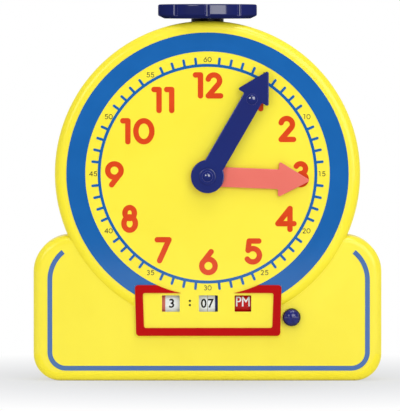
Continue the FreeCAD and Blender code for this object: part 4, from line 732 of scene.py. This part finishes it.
FINISHES: dict[Slot, Finish] = {
    Slot.CASE_YELLOW: Plastic(
        (248, 233, 55), (245, 229, 49), (250, 240, 100), roughness=0.35, grain_depth=FINE_GRAIN, seam=0.0003
    ),
    Slot.SHUTTER_YELLOW: Plastic(
        (238, 222, 70), (232, 214, 62), (245, 235, 120), roughness=0.42, lacquer=0.3
    ),
    Slot.SCREW_STEEL: Metal((168, 168, 172), (128, 128, 134), roughness=0.34),
    Slot.SHAFT_STEEL: Metal((178, 180, 184), (140, 142, 148), roughness=0.28),
    Slot.BAND_BLUE: Ink((29, 99, 172), (26, 95, 167), roughness=0.06, spread=0.02),
    Slot.STRIPE_BLUE: Ink((64, 105, 173), (70, 110, 168), roughness=0.08),
    Slot.NUMERAL_ORANGE: Ink((212, 66, 26), (220, 74, 32), roughness=0.08),
    Slot.NUMERAL_GREY: Ink((64, 60, 50), (78, 72, 56)),
    Slot.INK_BLACK: Ink((18, 17, 18), (26, 25, 25), roughness=0.14, gloss=0.25),
    Slot.BEZEL_RED: Plastic(
        (182, 8, 10),
        (176, 8, 9),
        (205, 60, 55),
        roughness=0.35,
        grain_depth=FINE_GRAIN,
        gloss=0.05,
        lacquer=0.08,
    ),
    Slot.BUSH_BLACK: Plastic((24, 18, 14), (30, 24, 20), (60, 54, 48), roughness=0.45, lacquer=0.2),
    Slot.FRAME_BLACK: Plastic((34, 34, 37), (28, 28, 31), (70, 70, 74), roughness=0.5, lacquer=0.2),
    Slot.GEAR_WHITE: Plastic(
        (232, 229, 220), (222, 218, 207), (240, 239, 232), roughness=0.4, lacquer=0.5
    ),
    Slot.KNOB_NAVY: Plastic(
        (33, 39, 98),
        (29, 35, 88),
        (150, 146, 205),
        grain_depth=FINE_GRAIN,
        edge_radius=0.0006,
        gloss=0.0,
        lacquer_ior=2.0,
        lacquer_reach=(0.08, 0.16),
        lacquer_roughness=0.12,
        edge_share=0.8,
    ),
    Slot.HAND_NAVY: Plastic(
        (33, 45, 110),
        (35, 43, 106),
        (140, 136, 200),
        grain_depth=FINE_GRAIN,
        edge_radius=0.0006,
        edge_share=0.8,
        gloss=0.0,
        lacquer_ior=2.6,
        lacquer_reach=(0.08, 0.15),
        lacquer_flat=0.15,
        lacquer_roughness=0.09,
    ),
    Slot.BUTTON_NAVY: Pebbled((42, 48, 128), (26, 28, 86)),
    Slot.HAND_SALMON: Plastic(
        (232, 116, 104),
        (228, 111, 99),
        (244, 160, 144),
        grain_depth=FINE_GRAIN,
        edge_radius=0.0007,
        lacquer_roughness=0.1,
    ),
    Slot.DRUM_SALMON: Plastic((226, 120, 112), (218, 110, 102), (236, 150, 138), lacquer=0.5),
    Slot.DRUM_NAVY: Plastic((40, 44, 116), (34, 38, 104), (90, 92, 160), lacquer=0.5),
    Slot.DRUM_RED: Plastic((176, 24, 26), (166, 20, 22), (200, 70, 66), lacquer=0.5),
    Slot.LABEL_WHITE: Ink((242, 247, 255), (237, 243, 255), roughness=0.25, spread=0.06),
    Slot.LABEL_RED: Ink((192, 10, 16), (182, 8, 14), roughness=0.25, spread=0.06, gloss=0.25),
}


class Paintshop:
    """Makes each finish once and gives it to the pieces."""

    def __init__(self) -> None:
        """Builds the effect groups."""
        self.effects = Effects()
        self.made: dict[Slot, bpy.types.Material] = {}

    def material(self, slot: Slot) -> bpy.types.Material:
        """Finds or makes a finish.

        Args:
            slot: The finish.

        Returns:
            Its material.
        """
        if slot not in self.made:
            self.made[slot] = FINISHES[slot].make("clock_" + slot.value, self.effects)
        return self.made[slot]

    def dress_node(self, node: str, slot: Slot) -> None:
        """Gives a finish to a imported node.

        Args:
            node: The node's name.
            slot: The finish.
        """
        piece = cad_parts[node]
        for place in piece.material_slots:
            place.material = self.material(slot)
        LOG.info("dressed %s in %s", node, slot.value)

    def dress_new(self, piece: bpy.types.Object, slot: Slot) -> None:
        """Gives a finish to a piece that this file makes.

        Args:
            piece: The new piece.
            slot: The finish.
        """
        piece.data.materials.clear()
        piece.data.materials.append(self.material(slot))
        LOG.info("made %s in %s", piece.name, slot.value)


@dataclass
class Assembly:
    """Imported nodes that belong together, their finishes and the pieces added to them."""

    finishes: Mapping[Slot, Sequence[str]]
    added: list[tuple[bpy.types.Object, Slot]] = field(default_factory=list)

    def build(self) -> None:
        """Makes nothing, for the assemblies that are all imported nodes."""

    def dress(self, shop: Paintshop) -> None:
        """Finishes every node and every added piece.

        Args:
            shop: Where the finishes are made.
        """
        for slot, nodes in self.finishes.items():
            for node in nodes:
                shop.dress_node(node, slot)
        for piece, slot in self.added:
            shop.dress_new(piece, slot)


@dataclass
class CaseShell(Assembly):
    """The two case halves, their screws and the frame round the windows."""

    finishes: Mapping[Slot, Sequence[str]] = field(
        default_factory=lambda: {
            Slot.CASE_YELLOW: ("front_shell", "rear_shell"),
            Slot.SCREW_STEEL: ("case_screws",),
            Slot.BEZEL_RED: ("display_bezel",),
        }
    )


@dataclass
class DialPrints(Assembly):
    """Everything printed on the dial and the base.

    Attributes:
        frame_corner_mm: The radius of the window frame's round corners.
        tuck_mm: How far the corner prints reach under the frame.
        side_mm: How far they run down its sides.
        arc_steps: The straight pieces in a round corner.
    """

    frame_corner_mm: float = 3.0
    tuck_mm: float = 0.1
    side_mm: float = 7.6
    arc_steps: int = 10
    finishes: Mapping[Slot, Sequence[str]] = field(
        default_factory=lambda: {
            Slot.BAND_BLUE: ("dial_band", "minute_track"),
            Slot.NUMERAL_ORANGE: ("hour_numerals",),
            Slot.NUMERAL_GREY: ("minute_numerals",),
            Slot.STRIPE_BLUE: ("border_stripe",),
            Slot.INK_BLACK: ("colon_dots",),
        }
    )

    def corner_outline(self, corner: Vector, inward: float) -> list[Vector]:
        """Outlines the print between the band's square cut and the frame's round corner.

        Args:
            corner: The square cut's corner, in metres, at the print's back.
            inward: 1 where the frame lies on the +X side of the corner, else -1.

        Returns:
            The outline's points, in metres, with its inner edge tucked under the frame.
        """
        radius = self.frame_corner_mm * MM
        tuck = self.tuck_mm * MM
        reach = radius - tuck
        side = self.side_mm * MM
        points = [corner.copy(), corner + Vector((0, 0, -side)), corner + Vector((inward * tuck, 0, -side))]
        for step in range(self.arc_steps + 1):
            angle = math.pi / 2.0 * step / self.arc_steps
            over = radius - reach * math.cos(angle)
            down = radius - reach * math.sin(angle)
            points.append(corner + Vector((inward * over, 0, -down)))
        points.append(corner + Vector((inward * radius, 0, 0)))
        return points

    def build(self) -> None:
        """Makes the two small prints that bring the band up to the frame's round corners."""
        frame_low, frame_high = (Vector(point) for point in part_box("display_bezel"))
        band_low, band_high = (Vector(point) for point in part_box("dial_band"))
        whole = bmesh.new()
        for x, inward in ((frame_low.x, 1.0), (frame_high.x, -1.0)):
            outline = self.corner_outline(Vector((x, band_high.y, frame_high.z)), inward)
            face = whole.faces.new([whole.verts.new(point) for point in outline])
            extruded = bmesh.ops.extrude_face_region(whole, geom=[face])["geom"]
            raised = [item for item in extruded if isinstance(item, bmesh.types.BMVert)]
            bmesh.ops.translate(whole, vec=(0, band_low.y - band_high.y, 0), verts=raised)
        self.added.append((new_piece("band_corners", whole, "case"), Slot.BAND_BLUE))


@dataclass
class Hands(Assembly):
    """The two hands and the cap on their hub."""

    finishes: Mapping[Slot, Sequence[str]] = field(
        default_factory=lambda: {
            Slot.HAND_NAVY: ("minute_hand", "hub_cap"),
            Slot.HAND_SALMON: ("hour_hand",),
        }
    )


@dataclass
class KnobAndShaft(Assembly):
    """The setting knob, its bush and the shaft below it."""

    finishes: Mapping[Slot, Sequence[str]] = field(
        default_factory=lambda: {
            Slot.KNOB_NAVY: ("knob",),
            Slot.BUSH_BLACK: ("knob_bush",),
            Slot.SCREW_STEEL: ("knob_screw",),
            Slot.SHAFT_STEEL: ("drive_shaft",),
            Slot.GEAR_WHITE: ("upper_bevel_wheel", "lower_bevel_wheel"),
        }
    )


@dataclass
class GearTrain(Assembly):
    """Plates, arbors, wheels and shafts inside the case."""

    finishes: Mapping[Slot, Sequence[str]] = field(
        default_factory=lambda: {
            Slot.FRAME_BLACK: ("movement_plate", "left_bearing_plate", "right_bearing_plate"),
            Slot.SCREW_STEEL: ("plate_screws", "frame_screws"),
            Slot.SHAFT_STEEL: (
                "wheel_stud",
                "minute_arbor",
                "lay_shaft",
                "lay_shaft_clips",
                "drum_axle",
                "drum_axle_clips",
                "transfer_axle",
                "transfer_spacer",
            ),
            Slot.GEAR_WHITE: (
                "arbor_bevel",
                "cannon_pinion",
                "minute_wheel",
                "hour_wheel",
                "bevel_pinion",
                "tens_drive_gear",
                "units_drive_gear",
                "axle_pinion",
                "hour_transfer",
                "ampm_transfer",
            ),
        }
    )


@dataclass
class ButtonAndShutter(Assembly):
    """The push button, its spring and the shutter that it swings.

    Attributes:
        wire_mm: The diameter of the spring's wire.
        turns: The turns of the coil.
        turn_steps: The straight pieces in one turn.
        wire_sides: The sides of the wire.
        travel_mm: How far the button goes in; not used.
    """

    wire_mm: float = 0.8
    turns: int = 7
    turn_steps: int = 24
    wire_sides: int = 10
    travel_mm: float = 4.5
    finishes: Mapping[Slot, Sequence[str]] = field(
        default_factory=lambda: {
            Slot.BUTTON_NAVY: ("push_button",),
            Slot.SHUTTER_YELLOW: ("shutter", "shutter_crank"),
        }
    )

    def wire_ring(self, centre: Vector, angle: float, radius: float, pitch: float) -> list[Vector]:
        """Places the points round the spring's wire at one place along it.

        Args:
            centre: The point on the spring's axis level with the wire.
            angle: How far the wire has turned, in radians.
            radius: From the axis to the wire's middle.
            pitch: How far the wire moves on in one turn.

        Returns:
            The points of one ring, in metres.
        """
        outward = Vector((math.cos(angle), 0.0, math.sin(angle)))
        along = Vector((-math.sin(angle) * radius, pitch / math.tau, math.cos(angle) * radius)).normalized()
        across = outward.cross(along)
        sides = [math.tau * side / self.wire_sides for side in range(self.wire_sides)]
        half = self.wire_mm * MM / 2
        middle = centre + outward * radius
        return [middle + (outward * math.cos(side) + across * math.sin(side)) * half for side in sides]

    def build(self) -> None:
        """Winds the button's spring, in place of the imported one."""
        low, high = (Vector(point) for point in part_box("button_spring"))
        half = self.wire_mm * MM / 2
        radius = (high.x - low.x) / 2 - half
        length = high.y - low.y - 2 * half
        axis = (low + high) / 2
        coil = bmesh.new()
        steps = self.turns * self.turn_steps
        rings = []
        for step in range(steps + 1):
            centre = Vector((axis.x, low.y + half + length * step / steps, axis.z))
            ring = self.wire_ring(centre, math.tau * step / self.turn_steps, radius, length / self.turns)
            rings.append([coil.verts.new(point) for point in ring])
        for near, far in zip(rings, rings[1:]):
            for side in range(self.wire_sides):
                after = (side + 1) % self.wire_sides
                coil.faces.new((near[side], near[after], far[after], far[side])).smooth = True
        coil.faces.new(rings[0])
        coil.faces.new(rings[-1])
        spring = new_piece("return_spring", coil, "case")
        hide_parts("button_spring")
        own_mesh(spring)
        self.added.append((spring, Slot.SHAFT_STEEL))


@dataclass(frozen=True)
class Lettering:
    """Characters printed evenly round one drum, the shown one at the front and the next above it.

    Attributes:
        piece: The name of the piece that they make.
        words: What is printed, in order.
        centre_mm: Its middle, along the axle.
        height_mm: The height of a character.
        weight_mm: How far its strokes are thickened.
        width: A factor on its width.
        lift_deg: How far it is turned upwards from the front.
        strikes_mm: Where it is printed again along the axle, to broaden the upright strokes.
    """

    piece: str
    body: str
    words: tuple[str, ...]
    centre_mm: float
    height_mm: float = 8.0
    weight_mm: float = 0.24
    width: float = 0.95
    slot: Slot = Slot.INK_BLACK
    lift_deg: float = 0.0
    strikes_mm: tuple[float, ...] = (0.0,)


@dataclass
class DisplayDrums(Assembly):
    """The four drums behind the windows, with their labels and printed characters.

    Attributes:
        axle_y_mm: The depth of the axle that the drums turn on.
        axle_z_mm: Its height.
        inner_mm: The radius of the characters' inner side, under the label's face.
        outer_mm: The radius of their outer side.
        film_mm: How far a second strike stands out over the first.
        strip_mm: The height of the strips in which a character is bent.
        curve_steps: The straight pieces in each curve of a character.
        weld: The distance within which two points of a flat character, of size 1, become one.
    """

    axle_y_mm: float = -2.8
    axle_z_mm: float = 68.2
    inner_mm: float = 22.62
    outer_mm: float = 22.70
    film_mm: float = 0.03
    strip_mm: float = 0.5
    curve_steps: int = 6
    weld: float = 0.0005
    finishes: Mapping[Slot, Sequence[str]] = field(
        default_factory=lambda: {
            Slot.DRUM_SALMON: ("hour_drum",),
            Slot.DRUM_NAVY: ("tens_drum", "units_drum"),
            Slot.DRUM_RED: ("ampm_drum",),
            Slot.LABEL_WHITE: ("hour_label", "tens_label", "units_label"),
            Slot.LABEL_RED: ("ampm_label",),
        }
    )
    letterings: tuple[Lettering, ...] = (
        Lettering(
            "hour_digits",
            "hour_drum_axle",
            ("3", "4", "5", "6", "7", "8", "9", "10", "11", "12", "1", "2"),
            centre_mm=-31.5,
            width=1.0,
        ),
        Lettering("tens_digits", "tens_drum", ("0", "1", "2", "3", "4", "5"), centre_mm=-3.3),
        Lettering(
            "units_digits",
            "units_drum",
            ("7", "8", "9", "0", "1", "2", "3", "4", "5", "6"),
            centre_mm=3.0,
        ),
        Lettering(
            "ampm_letters",
            "ampm_drum",
            ("PM", "AM"),
            centre_mm=31.1,
            height_mm=8.6,
            weight_mm=0.0,
            width=0.82,
            slot=Slot.LABEL_WHITE,
            lift_deg=4.0,
            strikes_mm=(-0.14, 0.14),
        ),
    )

    def flat_word(self, word: str, style: Lettering) -> bmesh.types.BMesh:
        """Cuts one word as a thin solid, centred on the origin, facing +Z.

        Args:
            word: The characters.
            style: Their size and weight.

        Returns:
            The solid, in millimetres, from height 0 to 1.
        """
        curve = bpy.data.curves.new("word", "FONT")
        curve.body = word
        curve.extrude = 0.5  # to each side
        curve.resolution_u = self.curve_steps
        source = new_object("word", curve)
        bpy.context.view_layer.update()
        size = source.dimensions.copy()
        curve.offset = style.weight_mm * size.y / style.height_mm
        bpy.context.view_layer.update()
        shaped = source.evaluated_get(bpy.context.evaluated_depsgraph_get())
        mesh = bpy.data.meshes.new_from_object(shaped)
        solid = bmesh.new()
        solid.from_mesh(mesh)
        bmesh.ops.remove_doubles(solid, verts=solid.verts, dist=self.weld)
        low = Vector(min(v.co[axis] for v in solid.verts) for axis in range(3))
        high = Vector(max(v.co[axis] for v in solid.verts) for axis in range(3))
        middle = (low + high) / 2
        scale = style.height_mm / (high.y - low.y)
        for vertex in solid.verts:
            vertex.co = Vector(
                (
                    (vertex.co.x - middle.x) * scale * style.width,
                    (vertex.co.y - middle.y) * scale,
                    (vertex.co.z - low.z) / (high.z - low.z),
                )
            )
        bpy.data.objects.remove(source)
        bpy.data.curves.remove(curve)
        bpy.data.meshes.remove(mesh)
        return solid

    def wrap(self, solid: bmesh.types.BMesh, style: Lettering, turn: float, layer: int) -> None:
        """Cuts a flat word into strips and bends it round the drum.

        Args:
            solid: The word from flat_word, changed in place.
            style: Where on the axle it goes.
            turn: The angle above the front, in radians.
            layer: Which strike of the word it is; each lies a film's depth over the one before.
        """
        outer = self.outer_mm + layer * self.film_mm
        cuts = int(style.height_mm / self.strip_mm / 2)
        for index in range(-cuts, cuts + 1):
            bmesh.ops.bisect_plane(
                solid,
                geom=list(solid.verts) + list(solid.edges) + list(solid.faces),
                plane_co=(0, index * self.strip_mm, 0),
                plane_no=(0, 1, 0),
            )
        for vertex in solid.verts:
            radius = self.inner_mm + vertex.co.z * (outer - self.inner_mm)
            angle = turn + vertex.co.y / self.outer_mm
            vertex.co = Vector(
                (
                    style.centre_mm + style.strikes_mm[layer] + vertex.co.x,
                    self.axle_y_mm - radius * math.cos(angle),
                    self.axle_z_mm + radius * math.sin(angle),
                )
            )

    def build(self) -> None:
        """Makes one piece of characters for each drum."""
        for style in self.letterings:
            whole = bmesh.new()
            step_deg = 360.0 / len(style.words)
            for index, word in enumerate(style.words):
                for layer in range(len(style.strikes_mm)):
                    solid = self.flat_word(word, style)
                    self.wrap(solid, style, math.radians(index * step_deg + style.lift_deg), layer)
                    part = bpy.data.meshes.new("part")
                    solid.to_mesh(part)
                    solid.free()
                    whole.from_mesh(part)
                    bpy.data.meshes.remove(part)
            bmesh.ops.transform(whole, matrix=Matrix.Scale(MM, 4), verts=whole.verts)
            self.added.append((new_piece(style.piece, whole, style.body), style.slot))


@dataclass(frozen=True)
class Softbox:
    """One area lamp, aimed at the middle of the object."""

    name: str
    place: Point
    size: tuple[float, float]
    watts: float
    aim: Point = (0.0, 0.0, 0.17)


@dataclass
class Studio:
    """Floor, surroundings, lamps and camera.

    Attributes:
        floor_fade: The distances from the middle between which the floor turns plain white.
        floor_glow: The light that it gives off by itself.
        floor_patch: A factor on floor_tone in the darker patches.
        floor_bounce: Its colour as it lights the object.
        ambient_front: The light from the front. The other two are from behind and above.
        mirror_y: The headings over which what gloss mirrors goes through mirror_light.
    """

    floor_x: tuple[float, float] = (-3.0, 3.0)
    floor_y: tuple[float, float] = (-2.93, 2.5)
    floor_fade: tuple[float, float] = (0.05, 0.45)
    floor_glow: float = 0.5
    floor_tone: Point = (0.21, 0.22, 0.25)
    floor_patch: float = 0.98
    floor_bounce: Point = (0.88, 0.88, 0.88)
    camera_place: Point = (-0.00537, -5.0, 0.285)
    camera_pitch_deg: float = 1.506
    camera_yaw_deg: float = 0.014
    lens_mm: float = 496.2
    sensor_mm: float = 36.0
    ambient_front: float = 0.42
    ambient_back: float = 0.75
    ambient_top: float = 0.1
    mirror_y: tuple[float, float] = (-0.3, 0.95)
    mirror_light: tuple[float, float] = (0.02, 1.0)
    lamps: tuple[Softbox, ...] = (
        Softbox("key_softbox", (0.8, -1.68, 0.85), (1.3, 1.5), 12.8),
        Softbox("fill_softbox", (-1.06, -1.52, 0.95), (0.8, 0.8), 5.3),
        Softbox("top_softbox", (0.15, -0.62, 1.6), (0.8, 0.6), 6.2),
    )

    def build(self) -> None:
        """Makes the whole studio."""
        self.build_floor()
        self.build_world()
        for lamp in self.lamps:
            self.build_lamp(lamp)
        self.build_camera()
        bpy.context.scene.view_settings.view_transform = "Standard"

    def build_floor(self) -> None:
        """Lays a pale floor that keeps the object's shadow."""
        mesh = bpy.data.meshes.new("floor")
        corners = [(x, y, 0.0) for x in self.floor_x for y in self.floor_y]
        mesh.from_pydata(corners, [], [(0, 2, 3, 1)])
        new_object("floor", mesh)
        material, graph = new_material("floor_white")
        ray = graph.add("ShaderNodeLightPath").outputs
        place = graph.place()
        cloud = graph.noise(place, scale=6.0, detail=2.0)
        light = (*self.floor_tone, 1.0)
        deep = tuple(value * self.floor_patch for value in light)
        matt = graph.add("ShaderNodeBsdfDiffuse", {"Color": graph.blend(cloud, light, deep)})
        bounce = graph.add("ShaderNodeBsdfDiffuse", {"Color": (*self.floor_bounce, 1.0)})
        glow = graph.add("ShaderNodeEmission", {"Color": WHITE, "Strength": self.floor_glow})
        lifted = graph.add("ShaderNodeAddShader", {0: matt.outputs[0], 1: glow.outputs[0]})
        white = graph.add("ShaderNodeEmission", {"Color": WHITE, "Strength": 1.0})
        reach = graph.vector("LENGTH", place).outputs["Value"]
        far = graph.remap(reach, self.floor_fade, UNIT)
        sheet = graph.mix(far, lifted, white)
        mirrored = graph.math("MAXIMUM", ray["Is Glossy Ray"], ray["Is Transmission Ray"])
        seen = graph.math("MAXIMUM", ray["Is Camera Ray"], mirrored)
        graph.end(graph.mix(seen, bounce, sheet))
        mesh.materials.append(material)
        LOG.info("laid the floor")

    def build_world(self) -> None:
        """Surrounds the object with white, darker towards the front for what gloss mirrors."""
        world = bpy.data.worlds.new("studio")
        bpy.context.scene.world = world
        world.use_nodes = True
        graph = Graph(world.node_tree)
        ray = graph.add("ShaderNodeLightPath").outputs
        heading = graph.add("ShaderNodeTexCoord").outputs["Generated"]
        parts = graph.split(heading)
        room = graph.remap(parts["Y"], self.mirror_y, self.mirror_light)
        behind = graph.remap(parts["Y"], (-1.0, 1.0), (self.ambient_front, self.ambient_back))
        above = graph.remap(parts["Z"], UNIT, (0.0, self.ambient_top))
        ambient = graph.add("ShaderNodeBackground", {"Color": graph.math("ADD", behind, above)})
        mirror = graph.add("ShaderNodeBackground", {"Color": room})
        white = graph.add("ShaderNodeBackground", {"Color": WHITE})
        glossy = graph.mix(ray["Is Glossy Ray"], ambient, mirror)
        direct = graph.math("MAXIMUM", ray["Is Camera Ray"], ray["Is Transmission Ray"])
        graph.end(graph.mix(direct, glossy, white), "ShaderNodeOutputWorld")
        LOG.info("made the surroundings")

    def build_lamp(self, lamp: Softbox) -> None:
        """Hangs one softbox.

        Args:
            lamp: Its place, size and power.
        """
        data = bpy.data.lights.new(lamp.name, "AREA")
        data.shape = "RECTANGLE"
        data.size, data.size_y = lamp.size
        data.energy = lamp.watts
        piece = new_object(lamp.name, data)
        piece.location = lamp.place
        piece.rotation_euler = (Vector(lamp.aim) - Vector(lamp.place)).to_track_quat("-Z", "Y").to_euler()
        piece.visible_camera = False
        LOG.info("hung %s", lamp.name)

    def build_camera(self) -> None:
        """Sets the camera in front of the dial, a little above its middle."""
        data = bpy.data.cameras.new("camera")
        data.sensor_width = self.sensor_mm
        data.lens = self.lens_mm
        piece = new_object("camera", data)
        piece.location = self.camera_place
        pitch = math.radians(90.0 - self.camera_pitch_deg)
        piece.rotation_euler = (pitch, 0.0, math.radians(self.camera_yaw_deg))
        bpy.context.scene.camera = piece
        LOG.info("set the camera")


def main() -> None:
    """Builds the studio, then builds and finishes every sub-assembly in order."""
    logging.basicConfig(level=logging.INFO, format="%(name)s: %(message)s")
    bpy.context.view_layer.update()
    shop = Paintshop()
    assemblies = (
        CaseShell(),
        DialPrints(),
        Hands(),
        KnobAndShaft(),
        GearTrain(),
        DisplayDrums(),
        ButtonAndShutter(),
    )
    Studio().build()
    for assembly in assemblies:
        assembly.build()
        assembly.dress(shop)
        LOG.info("finished %s", type(assembly).__name__)


if __name__ == "__main__":
    main()
